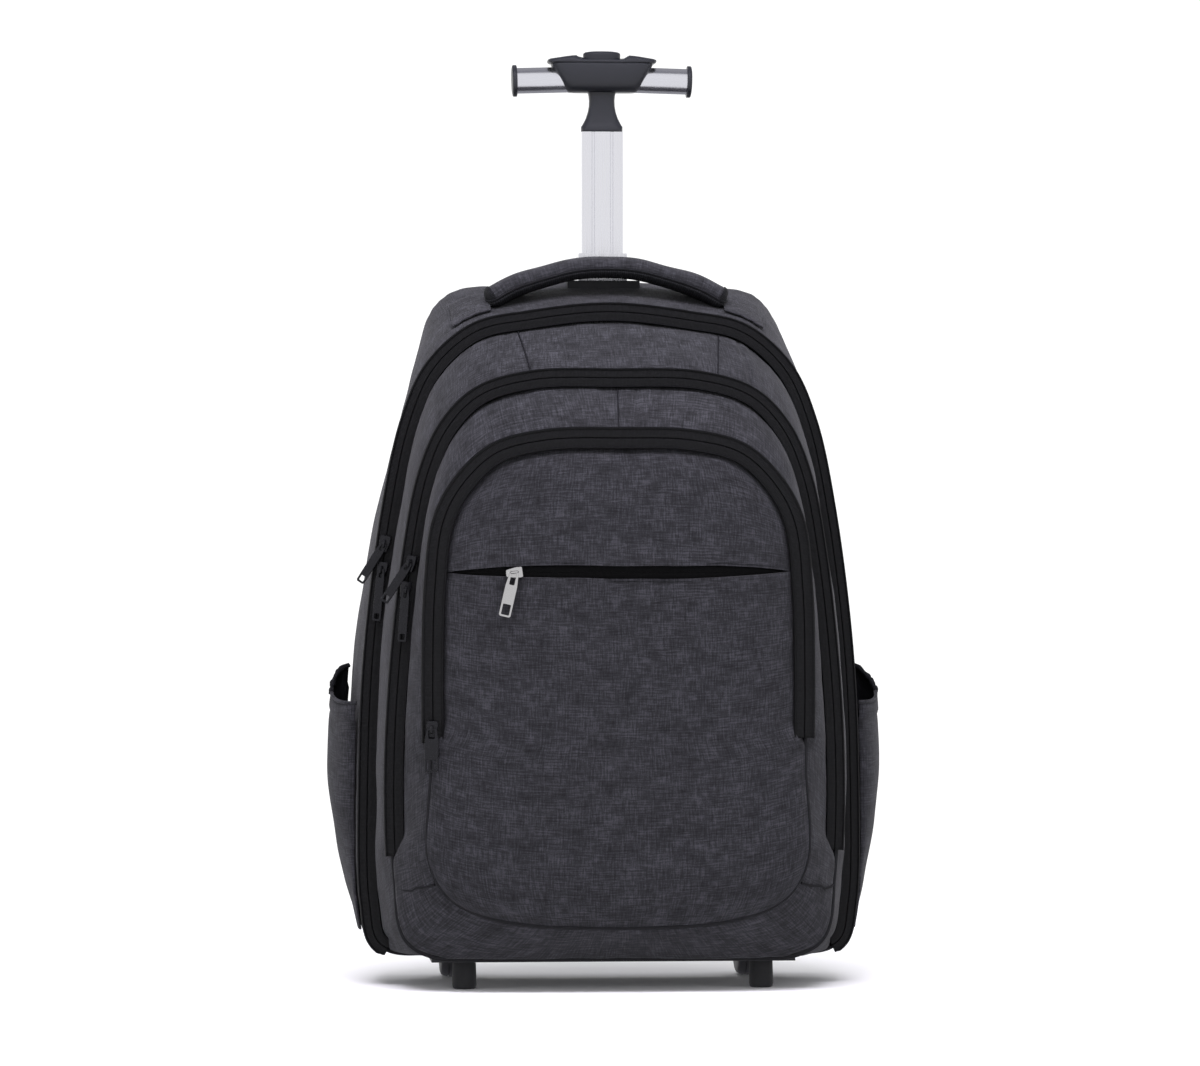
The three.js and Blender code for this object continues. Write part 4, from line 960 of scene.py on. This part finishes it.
rows = []
for share, rise in PAD_EDGE + [(share, 1) for share in np.linspace(0.92, 0.02, 46)]:
    spots = back_middle + (back_edge - back_middle) * share
    if share == 1:
        spots = pushed(back_edge, -0.3)
    edge_room = smooth(share, 0.97, 0.86)
    sewn = CHANNEL_DEPTH * channel_depth(spots[:, 0], spots[:, 1]) * (1 - share ** 12 * edge_room)
    face = np.full(len(spots), back_low[1])
    if rise:
        face = np.maximum(back_low[1] + PAD_THICK * rise - sewn, back_low[1] + 0.5)
    rows.append(np.stack([spots[:, 0], face, spots[:, 1]], axis=1))
back_pad = skin("back_pad", rows, ends=2)
crumple(back_pad, 40, 0.7, 51)
dress(back_pad, "bag", "spacer_mesh", SPACER_MESH, "back_panel")
edge = np.stack([back_edge[:, 0], np.full(len(back_edge), back_low[1] + 3.5), back_edge[:, 1]], axis=1)
loop_path = resampled(np.vstack([edge[::4], edge[:1]]), 300)
bound("back_pad_binding", loop_path, oval(3.4, 5, 8), (0, 1, 0))
print("back pad in mm:", [round(value / MM) for value in back_pad.dimensions])

# %% [markdown]
# A strap's table gives, at each station, shares of its drop, of how far it stands off the back and of how
# far it spreads to the side, and then of its width and thickness.

# %% Strap stations and stuffing
STRAP_TABLE = [(0, 0, 0, 0.94, 0.6), (0.008, 0.3, 0.01, 0.96, 0.85), (0.045, 0.67, 0.03, 1, 1),
               (0.14, 0.93, 0.09, 1, 1), (0.28, 1, 0.2, 1, 1), (0.43, 0.95, 0.34, 0.98, 1),
               (0.57, 0.8, 0.49, 0.9, 1), (0.68, 0.62, 0.61, 0.72, 0.85), (0.72, 0.54, 0.66, 0.56, 0.55)]
STRAP_WIDTH, STRAP_THICK, STRAP_TOP, STRAP_DROP = 66, 11, 474, 369
STRAP_STAND, STRAP_IN, STRAP_SPREAD = 45, 58, 62
BACK_FACE = back_high[1] + GAP


def strap_spot(side, drop, stand, spread):
    """A place on one side's strap from shares of its drop, stand-off and spread."""
    return (side * (STRAP_IN + spread * STRAP_SPREAD), BACK_FACE + stand * STRAP_STAND,
            STRAP_TOP - drop * STRAP_DROP)


def plump(piece, voxel_mm, cap_mm, pressure=4, frames=20):
    """Blows a closed pad up like a stuffed cover: even cells, air pressure, a cap on how far it moves."""
    applied(piece, "REMESH", mode="VOXEL", voxel_size=voxel_mm * MM, use_smooth_shade=True)
    before = np.array([point.co for point in piece.data.vertices])
    cloth = piece.modifiers.new("stuffing", "CLOTH")
    cloth.settings.use_pressure = True
    cloth.settings.uniform_pressure_force = pressure
    cloth.settings.effector_weights.gravity = 0
    for number in range(1, frames + 1):
        bpy.context.scene.frame_set(number)
    graph = bpy.context.evaluated_depsgraph_get()
    after = np.array([point.co for point in piece.evaluated_get(graph).data.vertices])
    piece.modifiers.clear()
    bpy.context.scene.frame_set(1)
    move = after - before
    far = np.maximum(np.linalg.norm(move, axis=1), 1e-9)[:, None]
    move *= np.minimum(1, cap_mm * MM / far)
    piece.data.vertices.foreach_set("co", (before + move).ravel())
    print(piece.name, "swelled by up to", round(np.linalg.norm(move, axis=1).max() / MM, 1), "mm")
    applied(piece, "SMOOTH", factor=0.5, iterations=3)
    return applied(piece, "SUBSURF", levels=1)

# %% [markdown]
# The pad is dark cloth outside and spacer mesh on the side of the back. A face takes its material from the
# side of the strap's middle line that it lies on.

# %% Strap pads
for word, side in SIDES:
    line = resampled([(*strap_spot(side, *row[:3]), *row[3:]) for row in STRAP_TABLE], 90)
    sections = [oval(STRAP_WIDTH * wide, STRAP_THICK * thick * 0.85, 20, 0.55)
                for wide, thick in line[:, 3:]]
    strap = sweep(f"strap_pad_{word}", line[:, :3], sections, (1, 0, 0))
    plump(strap, 3.6, 2.2)
    strap.data.materials.append(PLAIN_CLOTH)
    strap.data.materials.append(SPACER_MESH)
    side_way, normal_way = frames_along(line[:, :3], (1, 0, 0))
    if normal_way[len(line) // 2][1] < 0:
        normal_way = -normal_way
    centres = line[:, :3] * MM
    for face in strap.data.polygons:
        near = np.argmin(np.sum((centres - np.array(face.center)) ** 2, axis=1))
        face.material_index = int(np.dot(np.array(face.center) - centres[near], normal_way[near]) < 0)
    dress(strap, "bag", "melange_cloth", None, f"shoulder_strap_{word}")
    for edge_word, way in (("inner", -side), ("outer", side)):
        edge = line[:, :3] + side_way * (way * (STRAP_WIDTH * line[:, 3:4] / 2 - 0.6))
        bound(f"strap_binding_{word}_{edge_word}", edge, oval(3.2, 7.5, 12, 0.8), (1, 0, 0))

# %% [markdown]
# ## Side pockets
# Each side pocket is one sheet of the cloth, sewn to the gusset along three edges and left open at the top,
# higher at the rear. It bellies out because it is cut wider than the place it is sewn to. Its shape follows
# from the side of the bag plus a swell that is nothing along the seams.

# %% Side of the bag
POCKET_Y = (-11.9, 60.1)
POCKET_Z = (40, 206)
REAR_RISE, SWELL, STAND_OFF, SIDE_BEYOND = 26, 15.6, 1.9, 90
HEM_PROUD, HEM_STITCH, PLEAT = 0.9, 0.5, 0.5
RISES, SWELLS = [0, 0.2, 0.4, 0.6, 0.8, 1], [0, 0.22, 0.62, 1, 0.97, 0.88]
side_rows = [row[(row[:, 0] > SIDE_BEYOND) & (row[:, 2] < TOP_CLOTH_ABOVE)] for row in main_rows[FACE_PART]]


def side_half(y, z):
    """Half width of the main compartment at one depth and height."""
    halves = [np.interp(z, row[:, 2][::-1], row[:, 0][::-1]) for row in side_rows]
    return np.interp(-y, [-row[0, 1] for row in side_rows], halves)


def soft_swell(rise):
    """The swell's share at one height, smoothed over its neighbours."""
    near = (-0.07, -0.035, 0, 0.035, 0.07)
    return sum(np.interp(np.clip(rise + shift, 0, 1), RISES, SWELLS) for shift in near) / 5

# %% [markdown]
# The sheet is laid in rows from the bottom seam to the mouth. A hem stands a little proud under the mouth,
# and small pleats gather the cloth at the bottom.

# %% Pocket sheets
for word, side in SIDES:
    rows = []
    for rise in np.linspace(0, 1, 46):
        line = []
        for across in np.linspace(0, 1, 40):
            y = POCKET_Y[0] + (POCKET_Y[1] - POCKET_Y[0]) * across
            z = POCKET_Z[0] + (POCKET_Z[1] + REAR_RISE * across ** 2 - POCKET_Z[0]) * rise
            hem = HEM_PROUD * smooth(rise, 0.915, 0.93)
            hem -= HEM_STITCH * math.exp(-(((rise - 0.905) / 0.012) ** 2))
            gather = PLEAT * math.sin(across * 34) * math.exp(-rise / 0.08)
            swell = SWELL * soft_swell(rise) * math.sin(math.pi * across) ** 0.5 if 0 < across < 1 else 0
            line.append((side * (side_half(y, z) + swell + STAND_OFF + hem + gather), y, z))
        rows.append(line)
    pocket = skin(f"side_pocket_sheet_{word}", rows, around=False)
    crumple(pocket, 38, 1.6, 61 + side)
    pocket.data.materials.append(CLOTH)
    pocket.data.materials.append(BINDING)
    applied(pocket, "SOLIDIFY", thickness=1.2 * MM, offset=-1, material_offset=1)
    dress(pocket, "bag", "melange_cloth", None, f"side_pocket_{word}")
    mouth = np.array(rows[-1]) - (side * 0.5, 0, 0.4)
    hem_front = sweep(f"pocket_hem_{word}", mouth[:22], oval(2.8, 2.8, 10), (0, 0, 1))
    hem_rear = sweep(f"pocket_elastic_{word}", mouth[20:], oval(4.2, 3.6, 10), (0, 0, 1))
    crumple(hem_rear, 3.5, 1.6, 71)
    dress(hem_front, "bag", "melange_cloth", CLOTH)
    dress(hem_rear, "bag", "webbing", BINDING)

# %% [markdown]
# ## Small hard pieces
# Pulls, buckles and slider bodies are die-cast or moulded plates with windows in them. A flat curve with
# inner loops gives such a plate directly, holes and rounded edges included, which is cleaner than cutting
# boxes. Turned parts such as bars, caps, wheels and feet come from a profile that is spun round an axis.

# %% Plates


def rounded(low, high, radius, steps=4):
    """Corner points of a rounded rectangle from its low and high corners."""
    points = []
    for k, (x, y) in enumerate(((1, 1), (-1, 1), (-1, -1), (1, -1))):
        centre = (high[0] - radius if x > 0 else low[0] + radius,
                  high[1] - radius if y > 0 else low[1] + radius)
        for turn in np.linspace(k * math.pi / 2, (k + 1) * math.pi / 2, steps):
            points.append((centre[0] + radius * math.cos(turn), centre[1] + radius * math.sin(turn)))
    return points


def plate(name, outer, holes, thick, edge, place):
    """A plate in its own x and y, with holes and soft edges, set by a matrix whose move is in metres."""
    curve = bpy.data.curves.new(name, "CURVE")
    curve.dimensions, curve.fill_mode = "2D", "BOTH"
    curve.extrude, curve.bevel_depth = (thick / 2 - edge) * MM, edge * MM
    curve.bevel_resolution, curve.offset = 2, -edge * MM
    for loop in (outer, *holes):
        spline = curve.splines.new("POLY")
        spline.points.add(len(loop) - 1)
        spline.use_cyclic_u = True
        for point, (x, y) in zip(spline.points, loop):
            point.co = (x * MM, y * MM, 0, 1)
    holder = placed(name, curve)
    mesh = as_shown(holder)
    bpy.data.objects.remove(holder)
    mesh.transform(place)
    mesh.shade_smooth()
    return applied(placed(name, mesh), "WELD", merge_threshold=0.01 * MM)

# %% [markdown]
# Turned parts need only their profile. Each row of the profile becomes one ring of the skin.

# %% Turned parts
def spun(name, profile, centre, axis, sides=56, squash=1.0):
    """A turned piece from (along the axis, radius) in millimetres. squash flattens it along world Y."""
    axis = np.array(axis, float) / np.linalg.norm(axis)
    first = np.cross(axis, (0, 1, 0)) if abs(axis[1]) < 0.9 else np.cross(axis, (1, 0, 0))
    first /= np.linalg.norm(first)
    second = np.cross(axis, first)
    turns = np.arange(sides) * 2 * math.pi / sides
    wheel = (np.cos(turns)[:, None] * first + np.sin(turns)[:, None] * second) * (1, squash, 1)
    rows = [np.array(centre) + axis * along + wheel * radius for along, radius in profile]
    return skin(name, rows, ends=2)


def joined(name, pieces):
    """One object from several."""
    work = bmesh.new()
    for piece in pieces:
        work.from_mesh(piece.data)
        bpy.data.objects.remove(piece)
    mesh = bpy.data.meshes.new(name)
    work.to_mesh(mesh)
    work.free()
    mesh.shade_smooth()
    return placed(name, mesh)


def softened(node_name, material, width_mm, segments=2):
    """A frame node whose shape is right: a small round on its edges, and its material."""
    piece = frame["nodes"][node_name]
    modifier = piece.modifiers.new("edge_round", "BEVEL")
    modifier.width, modifier.segments, modifier.limit_method = width_mm * MM, segments, "ANGLE"
    modifier.harden_normals = True
    piece.data.materials.clear()
    piece.data.materials.append(material)


# %% [markdown]
# ## Sliders and pulls
# Two sliders meet on the main and the middle zip, one runs on the front zip and a silver one on the slit.
# The frame knows where each pull hinges and which way it hangs, so the detailed pull is built round that
# hinge.

# %% Sliders and pulls
tags = {joint["child"]: joint for joint in frame["joints"] if joint["child"].startswith("tag_")}
PULLS = {"main_upper": (34, 6.4, 5, 4), "main_lower": (38, 6.4, 5, 4), "middle_upper": (34, 6.4, 5, 4),
         "middle_lower": (38, 6.4, 5, 4), "front": (31, 10, 6, 7), "pocket": (33, 8.6, 8.5, 7.5)}
SHIELD = [(-3.2, 6), (3.2, 6), (4, 5.2), (4, 1.2), (2.8, -5.2), (2, -6), (-2, -6), (-2.8, -5.2), (-4, 1.2),
          (-4, 5.2)]
ARCH = [(0, -2.7, 1.6), (0, -2.5, -0.9), (0, -1.5, -1.6), (0, 1.5, -1.6), (0, 2.5, -0.9), (0, 2.7, 1.6)]


def spots_of(node_name):
    """The points of a frame node in metres."""
    return np.array([point.co for point in frame["nodes"][node_name].data.vertices])


def place_of(origin, x_way, y_way):
    """A matrix whose x and y follow two directions and whose z is square to both."""
    x_way, y_way = Vector(x_way).normalized(), Vector(y_way).normalized()
    z_way = x_way.cross(y_way).normalized()
    turn = Matrix((x_way, z_way.cross(x_way), z_way)).transposed().to_4x4()
    return Matrix.Translation(Vector(origin)) @ turn

# %% [markdown]
# The pull gets an eye and a window, and the slider a shield with a bridge over it that holds the eye.

# %% Pulls on their sliders
for name, (length, width, eye, window) in PULLS.items():
    joint = tags[f"tag_{name}"]
    origin = np.array(joint["pos_m"])
    metal_here = NICKEL if name == "pocket" else BLACK_LACQUER
    slot_here = "bright_zip_metal" if name == "pocket" else "black_zip_metal"
    down = spots_of(f"pull_{name}").mean(axis=0) - origin
    place = place_of(origin, -np.array(joint["axis"]), -down)
    low_y, top = 0.6 - length, 0.6
    edge = [(width / 2 * 0.72, top), (width / 2, top - eye - 2), (width / 2, low_y + 1),
            (width / 2 - 1, low_y)]
    outer = [(-edge[0][0], top)] + edge + [(-x, y) for x, y in edge[:0:-1]]
    hole = rounded((-width / 2 * 0.72 + 1.3, -0.6 - eye), (width / 2 * 0.72 - 1.3, -0.6), 0.6)
    opening = rounded((1.5 - width / 2, low_y + 1.5), (width / 2 - 1.5, low_y + 1.5 + window), 0.5)
    pull = plate(f"zip_pull_{name}", outer, [hole, opening], 1.4, 0.3, place)
    dress(pull, f"tag_{name}", slot_here, metal_here, f"pull_{name}")
    spots = spots_of(f"slider_{name}")
    into = spots[np.argsort(-np.linalg.norm(spots - origin, axis=1))[:8]].mean(axis=0) - origin
    along = np.linalg.svd(spots - spots.mean(axis=0))[2][0]
    along *= math.copysign(1, along[2] if name != "pocket" else along[0])
    into -= along * np.dot(into, along)
    seat = place_of(origin, np.cross(along, into), along)
    if np.dot(np.array(seat.col[2][:3]), into) < 0:
        seat = place_of(origin, -np.cross(along, into), along)
    body = plate("shoe", SHIELD, [], 3, 0.6, seat @ Matrix.Translation((0, 0, 2.5 * MM)))
    bridge = sweep("bridge", resampled(ARCH, 24), oval(1.7, 1.1, 10), (1, 0, 0))
    bridge.data.transform(seat)
    dress(joined(f"zip_slider_{name}", [body, bridge]), "bag", slot_here, metal_here, f"slider_{name}")
print("pulls:", ", ".join(PULLS))

# %% [markdown]
# ## Strap webbing and buckles
# A ladder buckle grips the webbing under each pad: two slots and three bars. The webbing is flat and stays
# flat, so it is swept directly and not simulated.

# %% Webbing and buckles
WEBBING_TABLE = [(0.775, 0.43, 0.73), (0.86, 0.26, 0.83), (0.95, 0.09, 0.94), (1, 0.05, 1)]
BUCKLE_TOP, BUCKLE_FOOT = (0.722, 0.535, 0.662), (0.773, 0.434, 0.728)
BUCKLE_HALF, SLOT_HALF, SLOT_HIGH = 17.5, 13.2, 4.4
for word, side in SIDES:
    path = resampled([strap_spot(side, *row) for row in WEBBING_TABLE], 60)
    dress(sweep(f"webbing_{word}", path, oval(25, 1.8, 16, 0.4), (1, 0, 0)), "bag", "webbing", WEBBING,
          f"strap_webbing_{word}")
    top, bottom = (np.array(strap_spot(side, *row)) for row in (BUCKLE_TOP, BUCKLE_FOOT))
    half_length = np.linalg.norm(top - bottom) / 2
    place = place_of((top + bottom) / 2 * MM, (1, 0, 0), top - bottom)
    frame_loop = rounded((-BUCKLE_HALF, -half_length), (BUCKLE_HALF, half_length), 3)
    slots = [rounded((-SLOT_HALF, low_y), (SLOT_HALF, low_y + SLOT_HIGH), 1)
             for low_y in (-half_length + 3, half_length - 9.5)]
    buckle = plate(f"ladder_buckle_{word}", frame_loop, slots, 4.6, 0.9, place)
    dress(buckle, "bag", "moulded_plastic", MOULDED, f"strap_buckle_{word}")
    print("buckle", word, [round(value / MM) for value in buckle.dimensions])

# %% [markdown]
# ## Pole, grip and button
# The pole is two drawn tubes; the upper one has flutes that show as thin lines. The neck, the grip and the
# end caps are black moulded plastic on two short aluminium bars. The grip is a loft with a squarish section
# that widens upwards, with a parting line near its top and ears that fall away to both sides.

# %% Pole and neck
POLE_Y = (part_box("inner_tube")[0].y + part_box("inner_tube")[1].y) / 2 / MM
NECK_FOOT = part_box("handle_neck")[0].z / MM
GRIP_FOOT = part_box("handle_grip")[0].z / MM
softened("inner_tube", POLE_METAL, 0.35)
softened("mid_tube", POLE_METAL, 0.5)
softened("trolley_casing", POLE_METAL, 0.5)
softened("pole_collar", MOULDED, 1.0, 3)
NECK_WIDTH, NECK_DEEP, NECK_HIGH = 31.3, 16.5, 29
NECK_TABLE = [(0, 0.96, 1.02), (0.01, 0.99, 1.06), (0.13, 0.99, 1.06), (0.15, 0.95, 1.02),
              (0.24, 0.86, 0.97), (0.35, 0.76, 0.9), (0.5, 0.67, 0.84), (0.65, 0.62, 0.82),
              (0.8, 0.61, 0.82), (0.92, 0.63, 0.85), (1, 0.67, 0.9)]
rows = []
for rise, wide, deep in NECK_TABLE:
    section = oval(NECK_WIDTH * wide, NECK_DEEP * deep, 48, 0.66)
    rows.append([(x, POLE_Y + y, NECK_FOOT + rise * NECK_HIGH) for x, y in section])
neck = skin("grip_neck", rows, ends=2)
dress(neck, "handle", "grip_plastic", GRIP, "handle_neck")
print("neck in mm:", [round(value / MM) for value in neck.dimensions])

# %% [markdown]
# The grip's table gives a share of its height, of its spread to the sides and of its depth. Three rows
# close together near the top make the parting line.

# %% Grip body
GRIP_NARROW, GRIP_WIDENS, GRIP_DEEP, GRIP_HIGH, EAR_DROP, BUTTON_DIP = 53, 29, 31, 27, 2.4, 3.4
GRIP_TABLE = [(0, -0.1, 0.5), (0.02, -0.04, 0.6), (0.06, 0.04, 0.74), (0.15, 0.15, 0.87), (0.3, 0.31, 0.96),
              (0.5, 0.52, 1), (0.74, 0.77, 1), (0.765, 0.79, 0.985), (0.78, 0.77, 0.95), (0.79, 0.77, 0.95),
              (0.8, 0.88, 0.98), (0.82, 0.95, 0.99), (0.93, 0.98, 0.95), (0.98, 0.95, 0.86), (1, 0.88, 0.72),
              (1, 0.7, 0.5)]
rows = []
for rise, spread, deep in GRIP_TABLE:
    x, y = oval(GRIP_NARROW + GRIP_WIDENS * spread, GRIP_DEEP * deep, 64, 0.42).T
    ears = -EAR_DROP * smooth(np.abs(x), 18, 42) * smooth(rise, 0.84, 0.98)
    dip = -BUTTON_DIP * smooth(np.abs(x), 20, 14) * smooth(rise, 0.85, 1)
    rows.append(np.stack([x, POLE_Y + y, GRIP_FOOT + rise * GRIP_HIGH + ears + dip], axis=1))
grip = skin("grip_body", rows, ends=2)
dress(grip, "handle", "grip_plastic", GRIP, "handle_grip")

# %% [markdown]
# The button is a flattened dome in the dip of the grip, and the bars leave the grip with a slight droop.

# %% Button, bars and caps
BUTTON_Z = 684.6
BUTTON = [(-4, 13.6), (1.6, 14), (2.7, 13.7), (3.6, 12.4), (4.1, 9.6), (4.3, 5), (4.35, 0.5)]
button = spun("thumb_button", BUTTON, (0, POLE_Y, BUTTON_Z), (0, 0, 1), squash=0.577)
dress(button, "button", "grip_plastic", GRIP, "push_button")
BAR_Z, DROOP = GRIP_FOOT + 9.6, math.radians(1.6)
BAR = [(2, 9.6), (20, 9.6), (44.2, 9.6)]
BAR_CAP = [(43.4, 9.8), (43.5, 11.4), (43.9, 11.8), (46, 11.8), (46.6, 11.4), (47.1, 9.4), (47.4, 5),
           (47.5, 1)]
for word, side in SIDES:
    way = (side * math.cos(DROOP), 0, -math.sin(DROOP))
    root = (side * 20, POLE_Y, BAR_Z)
    bar = spun(f"grip_bar_{word}", BAR, root, way)
    dress(bar, "handle", "anodised_aluminium", BAR_METAL, f"bar_{word}")
    cap = spun(f"grip_cap_{word}", BAR_CAP, root, way)
    dress(cap, "handle", "grip_plastic", GRIP, f"bar_cap_{word}")
print("grip in mm:", [round(value / MM) for value in grip.dimensions])

# %% [markdown]
# ## Wheels, feet and base
# Soft tyres on moulded hubs run in housings that are let into the base. The tread is crowned and has two
# fine grooves; the hub has five ribs, so that a turn of the wheel can be seen.

# %% Wheels, feet and base
def both_sides(half):
    """A profile that is the same on both sides, from its left half."""
    return half + [(-along, radius) for along, radius in half[::-1]]


TYRE = both_sides([(-10, 22.4), (-10, 28.5), (-9.2, 30.4), (-7.4, 31.5), (-4.6, 31.95), (-4.3, 31.2),
                   (-3.7, 31.2), (-3.4, 32)])
HUB = both_sides([(-11.6, 3.4), (-11.6, 7.2), (-11, 8), (-6, 8.6), (-5.6, 9.4), (-5.6, 18.4), (-6.2, 19.2),
                  (-9.6, 19.6), (-10, 20.2), (-10, 21.6), (-9.4, 22)])
AXLE = both_sides([(-15.4, 2.2), (-15, 2.9)])
RIBS, RIB = 5, rounded((-1.6, 7), (1.6, 19.4), 0.6)
ON_EDGE = Matrix.Rotation(math.pi / 2, 4, "X") @ Matrix.Rotation(math.pi / 2, 4, "Y")
for word, _ in SIDES:
    low, high = box_mm(f"tyre_{word}")
    centre = (low + high) / 2
    tyre = spun(f"wheel_tyre_{word}", TYRE, centre, (1, 0, 0), 64)
    dress(tyre, f"wheel_{word}", "wheel_tyre", TYRE_PLASTIC, f"tyre_{word}")
    parts = [spun("dish", HUB, centre, (1, 0, 0), 64)]
    for k in range(RIBS):
        turned = Matrix.Rotation(k * 2 * math.pi / RIBS, 4, "X") @ ON_EDGE
        parts.append(plate("rib", RIB, [], 17, 0.5, Matrix.Translation(Vector(centre * MM)) @ turned))
    dress(joined(f"wheel_hub_{word}", parts), f"wheel_{word}", "moulded_plastic", MOULDED, f"hub_{word}")
    axle = spun(f"wheel_axle_{word}", AXLE, centre, (1, 0, 0), 32)
    dress(axle, "bag", "axle_steel", STEEL, f"axle_{word}")
    softened(f"wheel_housing_{word}", MOULDED, 0.8)
    low, high = box_mm(f"foot_{word}")
    foot = spun(f"stand_foot_{word}", [(0, 7.2), (0.8, 8.4), (3, 8.9), (17, 8.5), (high[2], 8.3)],
                ((low[0] + high[0]) / 2, (low[1] + high[1]) / 2, 0), (0, 0, 1))
    dress(foot, "bag", "foot_rubber", FOOT_RUBBER, f"foot_{word}")
softened("base_plate", MOULDED, 0.8)

# %% [markdown]
# ## Floor and light
# The picture was taken in a light tent: white behind, a pale floor and large soft lamps. A short floor
# plane and a bright surrounding give the same even light, and five soft lamps add shade and a cool light
# from above. The lamps and the floor don't show in mirror images. Metal mirrors the surrounding alone,
# which is bright towards the front and grey above and behind, and so the bars get their light and grey
# bands.

# %% Floor
floor_mesh = bpy.data.meshes.new("studio_floor")
floor_mesh.from_pydata([(-6, -4, 0), (6, -4, 0), (6, 0.9, 0), (-6, 0.9, 0)], [], [(0, 1, 2, 3)])
floor = placed("studio_floor", floor_mesh)
floor_paint, _, _ = new_material("matt_white_board", Base_Color=(0.92, 0.92, 0.92, 1), Roughness=0.9)
floor_mesh.materials.append(floor_paint)
floor.visible_glossy = False
print("floor:", [round(value, 2) for value in floor.dimensions])

# %% [markdown]
# The surrounding is a light tent: two ramps over the direction of view, multiplied.

# %% Surrounding
world = bpy.data.worlds.new("studio_surround")
bpy.context.scene.world = world
world.use_nodes = True
sky = world.node_tree.nodes["Background"]
sky.inputs["Strength"].default_value = 1.15
air = world.node_tree
facing = node(air, "SeparateXYZ", wires={"Vector": node(air, "TexCoord").outputs["Generated"]})
around = ramp(air, facing.outputs["Y"], [(0.0, "#dcdce0"), (0.2, "#ffffff")])
behind = node(air, "MapRange", {"From Min": -0.5, "From Max": -0.1}, {"Value": facing.outputs["Y"]})
steepness = maths(air, "ABSOLUTE", facing.outputs["Z"], 0.0)
behind_and_high = maths(air, "MULTIPLY", steepness, behind.outputs["Result"])
overhead = ramp(air, behind_and_high, [(0.14, "#ffffff"), (0.34, "#8a8a90")])
tent = node(air, "Mix", {"data_type": "RGBA", "blend_type": "MULTIPLY"}, {6: around, 7: overhead})
tent.inputs[0].default_value = 1
air.links.new(tent.outputs[2], sky.inputs["Color"])
print("surround:", len(air.nodes), "nodes")

# %% [markdown]
# The lamps are large, so their shadows are soft. The widest hangs overhead, and the strongest for its size
# lights the top and the front.

# %% Lamps
LAMP_AIM = Vector((0, 0, 0.35))


def soft_lamp(name, place, size, watts, colour=(1, 1, 1)):
    """A soft lamp of the given width and height that faces the middle of the bag."""
    data = bpy.data.lights.new(name, "AREA")
    data.shape = "RECTANGLE"
    data.size, data.size_y = size
    data.energy, data.color = watts, colour
    lamp = placed(name, data)
    lamp.location = place
    lamp.visible_glossy = False
    lamp.rotation_euler = (LAMP_AIM - Vector(place)).to_track_quat("-Z", "Y").to_euler()


soft_lamp("lamp_top_front", (-0.1, -0.6, 1.4), (1.4, 0.5), 30, (0.93, 0.89, 1.0))
soft_lamp("lamp_overhead", (0, -0.3, 3.0), (4.0, 3.0), 60)
soft_lamp("lamp_back", (0, 2.6, 1.8), (2.5, 1.0), 30)
soft_lamp("lamp_left", (-2.0, -1.0, 1.0), (0.8, 1.8), 5)
soft_lamp("lamp_right", (2.0, -1.0, 1.0), (0.8, 1.8), 5)
bpy.context.scene.view_settings.view_transform = "Standard"
print("lamps:", len(bpy.data.lights))
